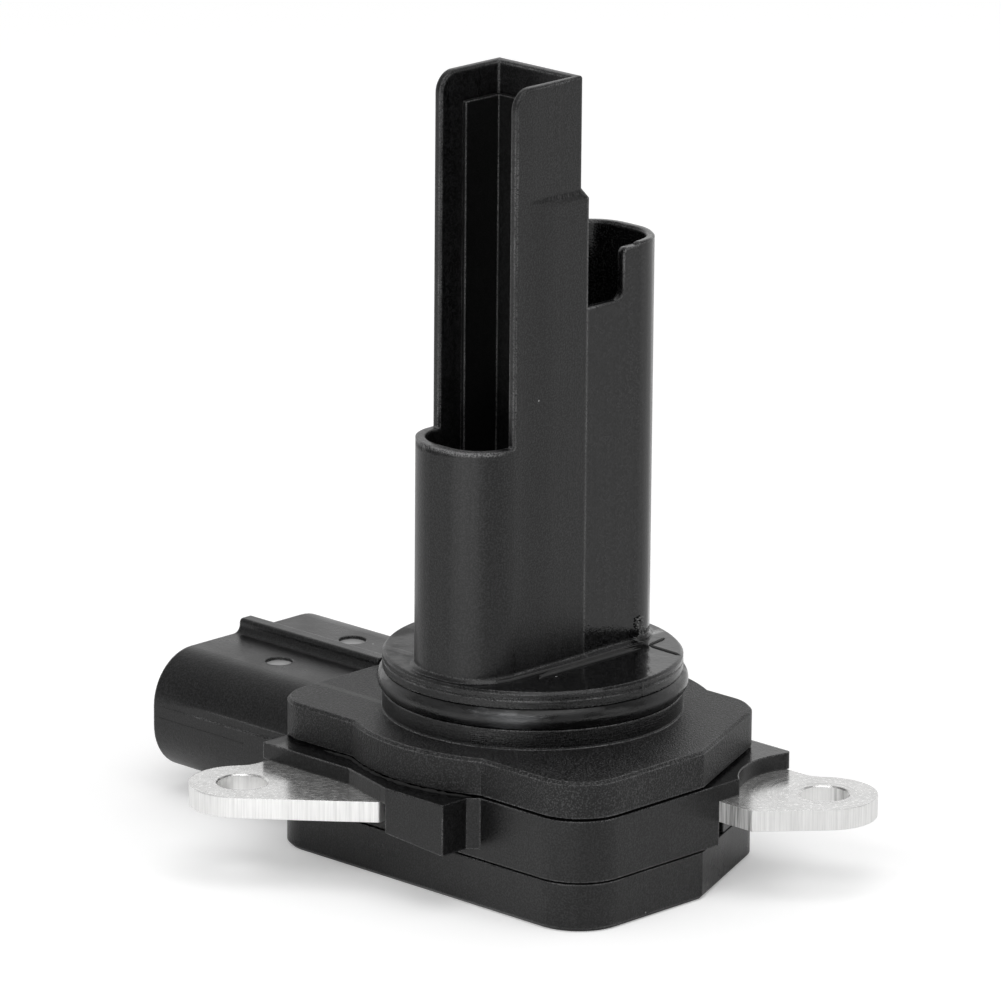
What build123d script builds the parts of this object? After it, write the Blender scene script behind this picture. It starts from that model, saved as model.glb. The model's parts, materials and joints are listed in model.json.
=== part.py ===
"""Plug-in mass airflow sensor: probe and mounting spigot, connector case, cover, plate and electronics.

The frame is the sensor's own: +Z runs up the probe, the origin lies on the spigot's axis at the
underside of the bottom cover, and the connector points along -X.
"""
from math import acos, atan2, cos, hypot, sin
import os

from build123d import *

os.makedirs("parts", exist_ok=True)

# Base outline, seen from above
base_left = 19.6
base_right = 21.2
base_half_width = 15.6
rear_corner_radius = 4.2
front_corner_radius = 5.0
bevel_along_x = 6.4
bevel_along_y = 14.6
bevel_corner_radius = 4.5
shell_wall = 2.0
cavity_corner_radius = 2.0

# Layers of the base
cover_height = 4.6
cover_floor = 1.4
cover_edge_bevel = 0.35
lower_seal_thickness = 0.2
case_height = 5.9
upper_seal_thickness = 0.3
flange_thickness = 3.5
flange_bulge_margin = 3.5
flange_edge_bevel = 0.3
seal_inset = 0.5
seal_width = 1.1

# Spigot and its seal ring
spigot_margin = 1.1
spigot_land_height = 1.9
ring_groove_height = 2.1
spigot_disc_height = 1.6
disc_edge_bevel = 0.25
disc_line_depth = 0.12
disc_line_height = 0.2
disc_line_drop = 0.75
ring_groove_depth = 1.5
ring_height = 2.0
ring_width = 1.9
ring_nose_radius = 1.1

# Probe
probe_width = 11.0
probe_length = 26.2
probe_corner_radius = 4.6
probe_wall = 0.9
tube_side_setback = 0.1
front_wall_top = 42.3
rear_tube_top = 59.1
channel_top = 76.3
left_front_setback = 0.35
divider_front = 0.5
divider_rear = 1.2
tip_rear = 0.5
tip_side_taper = 0.2
tip_taper_gap = 0.15
tip_step_start = 64.65
tip_step_height = 0.85
tip_front_radius = 2.0
rim_bevel = 0.18
channel_floor = 28.0
probe_foot_bevel = 0.35
transfer_width = 6.0
transfer_height = 7.5

# Notch in the rear tube
notch_front_gap = 4.96
notch_depth = 5.1
notch_corner_radius = 1.0
notch_lip_radius = 0.6
rim_step_length = 2.05
rim_step_depth = 0.25

# Channel liner
liner_wall = 0.5
liner_depth = 4.8
liner_top = 73.2
liner_clearance = 0.02

# Element holder and what it carries
holder_width = 8.4
holder_length = 17.6
holder_clearance = 0.15
holder_shoulder = 25.4
holder_flange_width = 12.0
holder_flange_length = 21.0
holder_flange_gap = 0.1
holder_nose_width = 5.0
holder_nose_length = 4.6
holder_nose_rise = 0.2
probe_floor_thickness = 2.5
nose_clearance = 0.1
heated_y = -6.9
reference_y = -4.7
thermistor_y = 5.6
lead_size = 0.6
film_lead_spacing = 3.2
bead_lead_spacing = 1.2
film_lead_rise = 2.8
bead_lead_rise = 2.2
lead_tail = 0.7
film_width = 4.2
film_thickness = 0.4
film_height = 6.8
bead_radius = 1.1
bead_height = 2.6
bead_end_bevel = 0.5

# Mounting plate
plate_thickness = 2.0
plate_top = 9.1
left_hole_x = -14.3
left_hole_y = -24.3
right_hole_x = 26.4
right_hole_y = 12.0
ear_radius = 5.05
hole_radius = 2.35
hole_edge_bevel = 0.15
left_ear_side_x = -17.4
left_ear_corner_x = -0.9
left_ear_corner_y = -19.6
right_ear_corner_x = 25.35
right_ear_corner_y = 3.2
right_ear_rear_y = 15.0
ear_root_radius = 3.0
ear_end_radius = 0.4
panel_left = 12.5
panel_right = 17.0
panel_half_width = 12.4
neck_overlap = 1.0

# Case features
left_pad_x = -18.1
left_pad_reach = 2.25
left_pad_run = 11.5
pad_flare_run = 6.6
tab_left_x = 0.0
tab_width = 7.45
tab_reach = 4.1
tab_bottom_left = 6.3
tab_bottom_right = 5.75
tab_root_bevel = 0.9
duct_boss_radius = 8.0
pad_tip_radius = 0.5
corner_block_y = 3.2
pocket_length = 3.4
pocket_depth = 1.0

# Connector
shroud_width = 25.0
shroud_height = 11.9
shroud_corner_radius = 5.0
shroud_centre_z = 7.6
shroud_mouth_x = -38.6
shroud_gap = 0.15
shroud_wall = 1.4
socket_depth = 14.0
key_width = 1.8
key_height = 1.35
key_top_radius = 0.4
key_foot_radius = 0.8
dimple_radius = 1.35
dimple_depth = 0.3
dimple_spacing = 10.0
dimple_x = -29.0
side_groove_height = 0.85
side_groove_rise = 1.1
side_groove_depth = 0.3
mouth_bevel = 0.35

# Terminals
terminal_count = 5
terminal_pitch = 3.9
terminal_width = 1.5
terminal_thickness = 0.6
terminal_reach = 8.0
terminal_inner_x = -14.4
terminal_tip_bevel = 0.2

# Circuit
board_thickness = 0.8
board_margin = 1.0
board_clearance = 0.4
chip_size = 7.0
chip_height = 1.2
chip_x = 10.2
chip_y = -5.0
transistor_length = 6.0
transistor_width = 5.0
transistor_height = 1.6
transistor_x = 10.0
transistor_y = 5.5
capacitor_count = 3
capacitor_length = 3.2
capacitor_width = 1.6
capacitor_height = 1.3
capacitor_x = -7.2
capacitor_pitch = 5.0
ribbon_width = 0.8
ribbon_thickness = 0.15
ribbon_drop = 1.6
ribbon_end_inset = 0.8

# Widest difference at which two measured sizes count as the same
tolerance = 0.01

# Heights that follow from the layers
case_base = cover_height + lower_seal_thickness
case_top = case_base + case_height
flange_base = case_top + upper_seal_thickness
flange_top = flange_base + flange_thickness
groove_base = flange_top + spigot_land_height
groove_top = groove_base + ring_groove_height
spigot_top = groove_top + spigot_disc_height
plate_base = plate_top - plate_thickness
board_base = plate_base - board_thickness
half_width = probe_width / 2
half_length = probe_length / 2
channel_front = half_length - probe_corner_radius
spigot_radius = half_length + spigot_margin
flange_bulge_radius = spigot_radius + flange_bulge_margin
inner_half_width = half_width - probe_wall
inner_half_length = half_length - probe_wall
inner_corner_radius = probe_corner_radius - probe_wall
shroud_root_x = -base_left - shroud_gap
shroud_top = shroud_centre_z + shroud_height / 2
socket_floor_x = shroud_mouth_x + socket_depth
holder_seat_top = channel_floor - probe_floor_thickness

# Outline that the cover, the case and the flange share, first with sharp corners
with BuildSketch() as sharp_outline:
    with BuildLine():
        Polyline(
            (-base_left, -base_half_width),
            (base_right, -base_half_width),
            (base_right, base_half_width - bevel_along_y),
            (base_right - bevel_along_x, base_half_width),
            (-base_left, base_half_width),
            close=True,
        )
    make_face()
with BuildSketch() as base_outline:
    add(sharp_outline.sketch)
    fillet(base_outline.vertices().group_by(Axis.X)[0], rear_corner_radius)
    front_corner = base_outline.vertices().sort_by_distance((base_right, -base_half_width))[0]
    fillet(front_corner, front_corner_radius)
    bevel_corner = base_outline.vertices().sort_by_distance((base_right - bevel_along_x, base_half_width))[0]
    fillet(bevel_corner, bevel_corner_radius)

# Inside of the walls
with BuildSketch() as cavity_outline:
    add(sharp_outline.sketch)
    offset(amount=-shell_wall)
    fillet(cavity_outline.vertices(), cavity_corner_radius)

# Largest outline that the board may have
with BuildSketch() as board_limit:
    add(cavity_outline.sketch)
    offset(amount=-board_clearance)

# Track that both seals follow
with BuildSketch() as seal_outline:
    add(base_outline.sketch)
    offset(amount=-seal_inset)
with BuildSketch() as seal_inner_outline:
    add(sharp_outline.sketch)
    offset(amount=-seal_inset - seal_width)
    fillet(seal_inner_outline.vertices(), cavity_corner_radius)

# Probe section: the channel part, and the rear tube with its sides set back
with BuildSketch() as channel_outline:
    RectangleRounded(probe_width, probe_length, probe_corner_radius)
    with Locations((0, divider_rear + half_length)):
        Rectangle(2 * probe_width, 2 * half_length, mode=Mode.SUBTRACT)
with BuildSketch() as tube_outline:
    RectangleRounded(probe_width - 2 * tube_side_setback, probe_length, probe_corner_radius)
    with Locations((0, divider_rear - half_length)):
        Rectangle(2 * probe_width, 2 * half_length, mode=Mode.SUBTRACT)
with BuildSketch() as probe_outline:
    add(channel_outline.sketch)
    add(tube_outline.sketch)

# Air space of the probe, front and rear of the divider
with BuildSketch() as probe_bore:
    RectangleRounded(2 * inner_half_width, 2 * inner_half_length, inner_corner_radius)

# What the fronts of the channel's walls lack of a full block: both are rounded at the top, and the
# left one is set back
wall_profiles = []
for setback in (left_front_setback, 0):
    with BuildSketch() as wall_profile:
        with BuildLine():
            Polyline(
                (setback - channel_front, front_wall_top),
                (setback - channel_front, channel_top),
                (0, channel_top),
                (0, front_wall_top),
                close=True,
            )
        make_face()
        top_front = wall_profile.vertices().sort_by_distance((setback - channel_front, channel_top))[0]
        fillet(top_front, tip_front_radius)
    wall_profiles.append(wall_profile.sketch)
with BuildSketch(Plane.YZ) as left_front_waste:
    with Locations((-channel_front / 2, (front_wall_top + channel_top) / 2)):
        Rectangle(channel_front, channel_top - front_wall_top)
    add(wall_profiles[0], mode=Mode.SUBTRACT)
with BuildSketch(Plane.YZ) as right_front_waste:
    with Locations((-channel_front / 2, (front_wall_top + channel_top) / 2)):
        Rectangle(channel_front, channel_top - front_wall_top)
    add(wall_profiles[1], mode=Mode.SUBTRACT)

# Points where the ears' front edges, drawn from their corners, touch the round ends
left_reach = hypot(left_ear_corner_x - left_hole_x, left_ear_corner_y - left_hole_y)
left_turn = atan2(left_ear_corner_y - left_hole_y, left_ear_corner_x - left_hole_x)
left_turn -= acos(ear_radius / left_reach)
left_touch = (left_hole_x + ear_radius * cos(left_turn), left_hole_y + ear_radius * sin(left_turn))
right_reach = hypot(right_ear_corner_x - right_hole_x, right_ear_corner_y - right_hole_y)
right_turn = atan2(right_ear_corner_y - right_hole_y, right_ear_corner_x - right_hole_x)
right_turn += acos(ear_radius / right_reach)
right_touch = (right_hole_x + ear_radius * cos(right_turn), right_hole_y + ear_radius * sin(right_turn))

# Mounting plate: two ears and the panel between them
with BuildPart() as mounting_plate:
    with BuildSketch(Plane.XY.offset(plate_base)) as plate_outline:
        with Locations(((panel_right - panel_left) / 2, 0)):
            Rectangle(panel_left + panel_right, 2 * panel_half_width)
        with BuildLine():
            Polyline(
                (left_ear_side_x, left_hole_y),
                left_touch,
                (left_ear_corner_x, left_ear_corner_y),
                (left_ear_corner_x, neck_overlap - panel_half_width),
                (left_ear_side_x, neck_overlap - panel_half_width),
                close=True,
            )
        make_face()
        with Locations((left_hole_x, left_hole_y)):
            Circle(ear_radius)
        with BuildLine():
            Polyline(
                right_touch,
                (right_ear_corner_x, right_ear_corner_y),
                (panel_right - neck_overlap, right_ear_corner_y),
                (base_right - bevel_along_x, right_ear_rear_y),
                (right_hole_x, right_ear_rear_y),
                close=True,
            )
        make_face()
        with Locations((right_hole_x, right_hole_y)):
            Circle(ear_radius)
        left_root_y = left_hole_y + (ear_radius**2 - (left_ear_side_x - left_hole_x) ** 2) ** 0.5
        right_root_x = right_hole_x - (ear_radius**2 - (right_ear_rear_y - right_hole_y) ** 2) ** 0.5
        left_root = plate_outline.vertices().sort_by_distance((left_ear_side_x, left_root_y))[0]
        fillet(left_root, ear_root_radius)
        right_root = plate_outline.vertices().sort_by_distance((right_root_x, right_ear_rear_y))[0]
        fillet(right_root, ear_root_radius)
        ear_end = plate_outline.vertices().sort_by_distance((left_ear_corner_x, left_ear_corner_y))[0]
        fillet(ear_end, ear_end_radius)
    extrude(amount=plate_thickness)
    with Locations((left_hole_x, left_hole_y, plate_top), (right_hole_x, right_hole_y, plate_top)):
        Hole(hole_radius, plate_thickness)
    round_edges = mounting_plate.edges().filter_by(GeomType.CIRCLE)
    hole_edges = [edge for edge in round_edges if abs(edge.radius - hole_radius) < tolerance]
    chamfer(hole_edges, hole_edge_bevel)
    with BuildSketch(Plane.XY.offset(plate_base)):
        Rectangle(holder_width + 2 * holder_clearance, holder_length + 2 * holder_clearance)
    extrude(amount=plate_thickness, mode=Mode.SUBTRACT)

# Sensor housing: flange, spigot and probe in one moulding
with BuildPart() as sensor_housing:
    with BuildSketch(Plane.XY.offset(flange_base)):
        add(base_outline.sketch)
        Circle(flange_bulge_radius)
    extrude(amount=flange_thickness)
    flange_rim = sensor_housing.faces().sort_by(Axis.Z)[-1].edges()
    chamfer(flange_rim, flange_edge_bevel)
    with BuildSketch(Plane.XY.offset(flange_top)):
        Circle(spigot_radius)
    extrude(amount=spigot_top - flange_top)
    chamfer(sensor_housing.faces().sort_by(Axis.Z)[-1].edges(), disc_edge_bevel)
    with BuildSketch(Plane.XZ):
        with Locations((spigot_radius - ring_groove_depth / 2, (groove_base + groove_top) / 2)):
            Rectangle(ring_groove_depth, ring_groove_height)
        with Locations((spigot_radius - disc_line_depth / 2, spigot_top - disc_line_drop)):
            Rectangle(disc_line_depth, disc_line_height)
    revolve(axis=Axis.Z, mode=Mode.SUBTRACT)

    # Full section up to the top of the front wall
    with BuildSketch(Plane.XY.offset(spigot_top)):
        add(probe_outline.sketch)
    extrude(amount=front_wall_top - spigot_top)
    chamfer(sensor_housing.edges(Select.LAST).group_by(Axis.Z)[0], probe_foot_bevel)

    # Rear tube
    with BuildSketch(Plane.XY.offset(front_wall_top)):
        add(tube_outline.sketch)
    extrude(amount=rear_tube_top - front_wall_top)

    # Channel block, with its slimmer tip: its right side leans in behind the front curve
    tip_taper_start = tip_front_radius - channel_front + tip_taper_gap
    with BuildSketch(Plane.XY.offset(front_wall_top)):
        with Locations((0, (divider_rear - channel_front) / 2)):
            Rectangle(probe_width, channel_front + divider_rear)
    extrude(amount=tip_step_start - front_wall_top)
    with BuildSketch(Plane.XY.offset(tip_step_start)):
        with BuildLine():
            Polyline(
                (-half_width, -channel_front),
                (half_width, -channel_front),
                (half_width, tip_taper_start),
                (half_width, divider_rear),
                (-half_width, divider_rear),
                close=True,
            )
        make_face()
    with BuildSketch(Plane.XY.offset(tip_step_start + tip_step_height)) as tip_outline:
        with BuildLine():
            Polyline(
                (-half_width, -channel_front),
                (half_width, -channel_front),
                (half_width, tip_taper_start),
                (half_width - tip_side_taper, tip_rear),
                (-half_width, tip_rear),
                close=True,
            )
        make_face()
    loft()
    with BuildSketch(Plane.XY.offset(tip_step_start + tip_step_height)):
        add(tip_outline.sketch_local)
    extrude(amount=channel_top - tip_step_start - tip_step_height)

    # Fronts of the two walls
    extrude(left_front_waste.sketch, amount=-half_width, mode=Mode.SUBTRACT)
    extrude(right_front_waste.sketch, amount=half_width, mode=Mode.SUBTRACT)

    # Air spaces
    with BuildSketch(Plane.XY.offset(channel_floor)):
        add(probe_bore.sketch)
        with Locations((0, half_length - divider_front)):
            Rectangle(2 * probe_width, 2 * half_length, mode=Mode.SUBTRACT)
    extrude(amount=channel_top - channel_floor, mode=Mode.SUBTRACT)
    with BuildSketch(Plane.XY.offset(channel_floor)):
        add(probe_bore.sketch)
        with Locations((0, divider_rear - half_length)):
            Rectangle(2 * probe_width, 2 * half_length, mode=Mode.SUBTRACT)
    extrude(amount=rear_tube_top - channel_floor, mode=Mode.SUBTRACT)
    with BuildSketch(Plane.XZ.offset(divider_front)):
        with Locations((0, channel_floor + transfer_height / 2)):
            Rectangle(transfer_width, transfer_height)
    extrude(amount=-divider_front - divider_rear, mode=Mode.SUBTRACT)

    # Notch and rim step of the rear tube
    with BuildSketch(Plane.YZ.offset(inner_half_width / 2)) as notch:
        with BuildLine():
            Polyline(
                (divider_rear, rear_tube_top),
                (divider_rear, rear_tube_top - notch_depth),
                (divider_rear + notch_front_gap, rear_tube_top - notch_depth),
                (divider_rear + notch_front_gap, rear_tube_top - rim_step_depth),
                (divider_rear + notch_front_gap + rim_step_length, rear_tube_top - rim_step_depth),
                (divider_rear + notch_front_gap + rim_step_length, rear_tube_top),
                close=True,
            )
        make_face()
        notch_rear = divider_rear + notch_front_gap
        notch_corner = notch.vertices().sort_by_distance((notch_rear, rear_tube_top - notch_depth))[0]
        fillet(notch_corner, notch_corner_radius)
        notch_lip = notch.vertices().sort_by_distance((notch_rear, rear_tube_top - rim_step_depth))[0]
        fillet(notch_lip, notch_lip_radius)
    extrude(amount=half_width, mode=Mode.SUBTRACT)

    # Bevels along the rims of the rear tube and of the tip
    level_faces = sensor_housing.faces().filter_by(Plane.XY)
    rim_faces = level_faces.filter_by_position(Axis.Z, rear_tube_top - tolerance, rear_tube_top + tolerance)
    tip_rim = [edge for edge in sensor_housing.edges().group_by(Axis.Z)[-1] if edge.length > 2 * probe_wall]
    upright_edges = sensor_housing.edges().filter_by(Axis.Z).group_by(Axis.Z)[-1]
    tip_corners = [edge for edge in upright_edges if abs(edge.center().Y - tip_rear) < tolerance]
    chamfer([*rim_faces.edges(), *tip_rim, *tip_corners], rim_bevel)

    # Seat of the element holder, and its windows into the air spaces
    with BuildSketch(Plane.XY.offset(flange_base)):
        Rectangle(holder_width + 2 * holder_clearance, holder_length + 2 * holder_clearance)
    extrude(amount=holder_seat_top - flange_base, mode=Mode.SUBTRACT)
    with BuildSketch(Plane.XY.offset(holder_seat_top)):
        with Locations((0, (heated_y + reference_y) / 2), (0, thermistor_y)):
            Rectangle(holder_nose_width + 2 * nose_clearance, holder_nose_length + 2 * nose_clearance)
    extrude(amount=probe_floor_thickness, mode=Mode.SUBTRACT)

# Liner of the front channel, on three of its walls
with BuildPart() as channel_liner:
    liner_half = inner_half_width - liner_clearance
    liner_back = -divider_front - liner_clearance
    with BuildSketch(Plane.XY.offset(channel_floor)):
        with Locations((0, liner_back - liner_depth / 2)):
            Rectangle(2 * liner_half, liner_depth)
        with Locations((0, liner_back - liner_wall - liner_depth / 2)):
            Rectangle(2 * (liner_half - liner_wall), liner_depth, mode=Mode.SUBTRACT)
    extrude(amount=liner_top - channel_floor)
    with BuildSketch(Plane.XZ.offset(divider_front)):
        with Locations((0, channel_floor + transfer_height / 2)):
            Rectangle(transfer_width, transfer_height)
    extrude(amount=liner_wall + 2 * liner_clearance, mode=Mode.SUBTRACT)

# Lead positions: two for each film element, two for the thermistor
film_leads = [(side * film_lead_spacing / 2, y) for y in (heated_y, reference_y) for side in (-1, 1)]
bead_leads = [(side * bead_lead_spacing / 2, thermistor_y) for side in (-1, 1)]
lead_places = film_leads + bead_leads

# Element holder: a plug moulded round the leads
with BuildPart() as element_holder:
    with BuildSketch(Plane.XY.offset(plate_base)):
        Rectangle(holder_width, holder_length)
    extrude(amount=holder_shoulder - plate_base)
    with BuildSketch(Plane.XY.offset(plate_top)):
        Rectangle(holder_flange_width, holder_flange_length)
    extrude(amount=flange_base - holder_flange_gap - plate_top)
    with BuildSketch(Plane.XY.offset(holder_shoulder)):
        with Locations((0, (heated_y + reference_y) / 2), (0, thermistor_y)):
            Rectangle(holder_nose_width, holder_nose_length)
    extrude(amount=channel_floor + holder_nose_rise - holder_shoulder)
    with BuildSketch(Plane.XY.offset(plate_base)):
        with Locations(*lead_places):
            Rectangle(lead_size, lead_size)
    extrude(amount=channel_floor + holder_nose_rise - plate_base, mode=Mode.SUBTRACT)

nose_top = channel_floor + holder_nose_rise
film_base = nose_top + film_lead_rise
bead_base = nose_top + bead_lead_rise

# Leads, from below the board to their element
leads = []
for number, place in enumerate(lead_places, start=1):
    lead_top = film_base if place in film_leads else bead_base
    with BuildPart() as lead:
        with BuildSketch(Plane.XY.offset(board_base - lead_tail)):
            with Locations(place):
                Rectangle(lead_size, lead_size)
        extrude(amount=lead_top - board_base + lead_tail)
    lead.part.label = f"element_lead_{number}"
    leads.append(lead.part)

# Film elements
with BuildPart() as heated_element:
    with BuildSketch(Plane.XY.offset(film_base)):
        with Locations((0, heated_y)):
            Rectangle(film_width, film_thickness)
    extrude(amount=film_height)
with BuildPart() as reference_element:
    with BuildSketch(Plane.XY.offset(film_base)):
        with Locations((0, reference_y)):
            Rectangle(film_width, film_thickness)
    extrude(amount=film_height)

# Thermistor bead in the rear tube
with BuildPart() as air_thermistor:
    with BuildSketch(Plane.XY.offset(bead_base)):
        with Locations((0, thermistor_y)):
            Circle(bead_radius)
    extrude(amount=bead_height)
    chamfer(air_thermistor.edges().group_by(Axis.Z)[-1], bead_end_bevel)

# Seal ring: flat where it sits in the groove, with a round nose
with BuildPart() as seal_ring:
    ring_inner = spigot_radius - ring_groove_depth
    ring_outer = ring_inner + ring_height
    ring_centre_z = (groove_base + groove_top) / 2
    ring_low = ring_centre_z - ring_width / 2
    ring_high = ring_centre_z + ring_width / 2
    nose_rise = ring_nose_radius - (ring_nose_radius**2 - (ring_width / 2) ** 2) ** 0.5
    with BuildSketch(Plane.XZ):
        with BuildLine():
            Polyline(
                (ring_outer - nose_rise, ring_high),
                (ring_inner, ring_high),
                (ring_inner, ring_low),
                (ring_outer - nose_rise, ring_low),
            )
            ThreePointArc(
                (ring_outer - nose_rise, ring_low),
                (ring_outer, ring_centre_z),
                (ring_outer - nose_rise, ring_high),
            )
        make_face()
    revolve(axis=Axis.Z)

# Terminal positions across the connector
terminal_ys = [(number - (terminal_count - 1) / 2) * terminal_pitch for number in range(terminal_count)]

# Connector case
with BuildPart() as connector_case:
    with BuildSketch(Plane.XY.offset(case_base)):
        add(base_outline.sketch)
    extrude(amount=case_height)

    # Pad over the left ear's root, flaring into the tab block
    with BuildSketch(Plane.XY.offset(plate_top)):
        with BuildLine():
            Polyline(
                (left_pad_x, -base_half_width + rear_corner_radius),
                (left_pad_x, -base_half_width - left_pad_reach),
                (left_pad_x + left_pad_run, -base_half_width - left_pad_reach),
                (left_pad_x + left_pad_run + pad_flare_run, -base_half_width - tab_reach),
                (tab_left_x, -base_half_width - tab_reach),
                (tab_left_x, -base_half_width + rear_corner_radius),
                close=True,
            )
        make_face()
    extrude(amount=case_top - plate_top)

    # Tab block
    with BuildSketch(Plane.XZ.offset(base_half_width)):
        with BuildLine():
            Polyline(
                (tab_left_x, case_top),
                (tab_left_x, tab_bottom_left),
                (tab_left_x + tab_width, tab_bottom_right),
                (tab_left_x + tab_width, case_top),
                close=True,
            )
        make_face()
    extrude(amount=tab_reach)
    with BuildSketch(Plane.XY.offset(tab_bottom_right)):
        with BuildLine():
            Polyline(
                (tab_left_x + tab_width, -base_half_width),
                (tab_left_x + tab_width, -base_half_width - tab_root_bevel),
                (tab_left_x + tab_width + tab_root_bevel, -base_half_width),
                close=True,
            )
        make_face()
    extrude(amount=case_top - tab_bottom_right)

    # Right corner: pad over the ear's root, cut back for the duct's screw boss
    with BuildSketch(Plane.XY.offset(plate_top)) as right_pad:
        with BuildLine():
            Polyline(
                (0, 0),
                (base_right, 0),
                (base_right, base_half_width),
                (0, base_half_width),
                close=True,
            )
        make_face()
        with Locations((right_hole_x, right_hole_y)):
            Circle(duct_boss_radius, mode=Mode.SUBTRACT)
        fillet(right_pad.vertices().group_by(Axis.Y)[-1].sort_by(Axis.X)[-1], pad_tip_radius)
    extrude(amount=case_top - plate_top)
    with BuildSketch(Plane.XY.offset(case_base)):
        with Locations((base_right - bevel_along_x / 2, corner_block_y / 2)):
            Rectangle(bevel_along_x, corner_block_y)
    extrude(amount=plate_top - case_base)

    # Pocket below the right ear, beside the corner block
    bevel_slope = hypot(bevel_along_x, bevel_along_y) / bevel_along_y
    pocket_start = (corner_block_y - base_half_width + bevel_along_y) * bevel_slope
    bevel_plane = Plane(
        origin=(base_right, base_half_width - bevel_along_y, case_base),
        x_dir=(-bevel_along_x, bevel_along_y, 0),
        z_dir=(0, 0, 1),
    )
    with BuildSketch(bevel_plane):
        with Locations((pocket_start + pocket_length / 2, 0)):
            Rectangle(pocket_length, 2 * pocket_depth)
    extrude(amount=plate_base - case_base, mode=Mode.SUBTRACT)

    # Shroud
    with BuildSketch(Plane.YZ.offset(shroud_mouth_x)):
        with Locations((0, shroud_centre_z)):
            RectangleRounded(shroud_width, shroud_height, shroud_corner_radius)
    extrude(amount=shroud_root_x - shroud_mouth_x)
    with BuildSketch(Plane.YZ.offset(shroud_root_x)):
        with Locations((0, (case_base + case_top) / 2)):
            Rectangle(shroud_width - 2 * shroud_wall, case_height)
    extrude(amount=shroud_gap + shell_wall)

    # Key ridge with rounded top and hollow feet
    with BuildSketch(Plane.YZ.offset(shroud_mouth_x)) as key_section:
        with BuildLine():
            side_y = key_width / 2
            foot_y = side_y + key_foot_radius
            crest_y = side_y - key_top_radius
            root_z = shroud_top - shroud_wall / 2
            foot_z = shroud_top + key_foot_radius
            top_z = shroud_top + key_height
            crest_z = top_z - key_top_radius
            Polyline((-foot_y, shroud_top), (-foot_y, root_z), (foot_y, root_z), (foot_y, shroud_top))
            RadiusArc((foot_y, shroud_top), (side_y, foot_z), key_foot_radius)
            Line((side_y, foot_z), (side_y, crest_z))
            RadiusArc((side_y, crest_z), (crest_y, top_z), -key_top_radius)
            Line((crest_y, top_z), (-crest_y, top_z))
            RadiusArc((-crest_y, top_z), (-side_y, crest_z), -key_top_radius)
            Line((-side_y, crest_z), (-side_y, foot_z))
            RadiusArc((-side_y, foot_z), (-foot_y, shroud_top), key_foot_radius)
        make_face()
    extrude(amount=shroud_root_x - shroud_mouth_x)

    # Dimples either side of the key
    with Locations(Plane.XY.offset(shroud_top)):
        with Locations((dimple_x, -dimple_spacing / 2), (dimple_x, dimple_spacing / 2)):
            Hole(dimple_radius, dimple_depth)

    # Side grooves, running out towards the mouth
    with BuildSketch(Plane.XY.offset(shroud_centre_z + side_groove_rise)):
        for side in (-1, 1):
            with BuildLine():
                Polyline(
                    (shroud_mouth_x, side * shroud_width / 2),
                    (shroud_root_x, side * shroud_width / 2),
                    (shroud_root_x, side * (shroud_width / 2 - side_groove_depth)),
                    close=True,
                )
            make_face()
    extrude(amount=side_groove_height, mode=Mode.SUBTRACT)

    # Socket
    with BuildSketch(Plane.YZ.offset(shroud_mouth_x)):
        with Locations((0, shroud_centre_z)):
            RectangleRounded(shroud_width, shroud_height, shroud_corner_radius)
        offset(amount=-shroud_wall)
    extrude(amount=socket_depth, mode=Mode.SUBTRACT)
    chamfer(connector_case.edges(Select.LAST).group_by(Axis.X)[0], mouth_bevel)

    # Circuit space, plate and terminals
    with BuildSketch(Plane.XY.offset(case_base)):
        add(cavity_outline.sketch)
    extrude(amount=case_height, mode=Mode.SUBTRACT)
    add(mounting_plate.part, mode=Mode.SUBTRACT)
    with BuildSketch(Plane.YZ.offset(socket_floor_x)):
        with Locations(*[(y, shroud_centre_z) for y in terminal_ys]):
            Rectangle(terminal_width, terminal_thickness)
    extrude(amount=shell_wall - base_left - socket_floor_x, mode=Mode.SUBTRACT)

# Terminals, joined to the board by ribbons
terminals = []
terminal_tip_x = socket_floor_x - terminal_reach
for number, terminal_y in enumerate(terminal_ys, start=1):
    with BuildPart() as terminal:
        with BuildSketch(Plane.YZ.offset(terminal_tip_x)):
            with Locations((terminal_y, shroud_centre_z)):
                Rectangle(terminal_width, terminal_thickness)
        extrude(amount=terminal_inner_x - terminal_tip_x)
        chamfer(terminal.faces().sort_by(Axis.X)[0].edges(), terminal_tip_bevel)
    terminal.part.label = f"terminal_{number}"
    terminals.append(terminal.part)

# Bottom cover
with BuildPart() as bottom_cover:
    with BuildSketch():
        add(base_outline.sketch)
    extrude(amount=cover_height)
    chamfer(bottom_cover.faces().sort_by(Axis.Z)[0].edges(), cover_edge_bevel)
    with BuildSketch(Plane.XY.offset(cover_floor)):
        add(cavity_outline.sketch)
    extrude(amount=cover_height - cover_floor, mode=Mode.SUBTRACT)

# Seals between the layers
with BuildPart() as lower_seal:
    with BuildSketch(Plane.XY.offset(cover_height)):
        add(seal_outline.sketch)
        add(seal_inner_outline.sketch, mode=Mode.SUBTRACT)
    extrude(amount=lower_seal_thickness)
with BuildPart() as upper_seal:
    with BuildSketch(Plane.XY.offset(case_top)):
        add(seal_outline.sketch)
        add(seal_inner_outline.sketch, mode=Mode.SUBTRACT)
    extrude(amount=upper_seal_thickness)

# Circuit board, bonded to the underside of the plate, with holes for the leads
with BuildPart() as circuit_board:
    with BuildSketch(Plane.XY.offset(board_base)):
        with Locations(((panel_right - panel_left) / 2, 0)):
            Rectangle(panel_left + panel_right - 2 * board_margin, 2 * (panel_half_width - board_margin))
        add(board_limit.sketch, mode=Mode.INTERSECT)
        with Locations(*lead_places):
            Rectangle(lead_size, lead_size, mode=Mode.SUBTRACT)
    extrude(amount=board_thickness)

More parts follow.
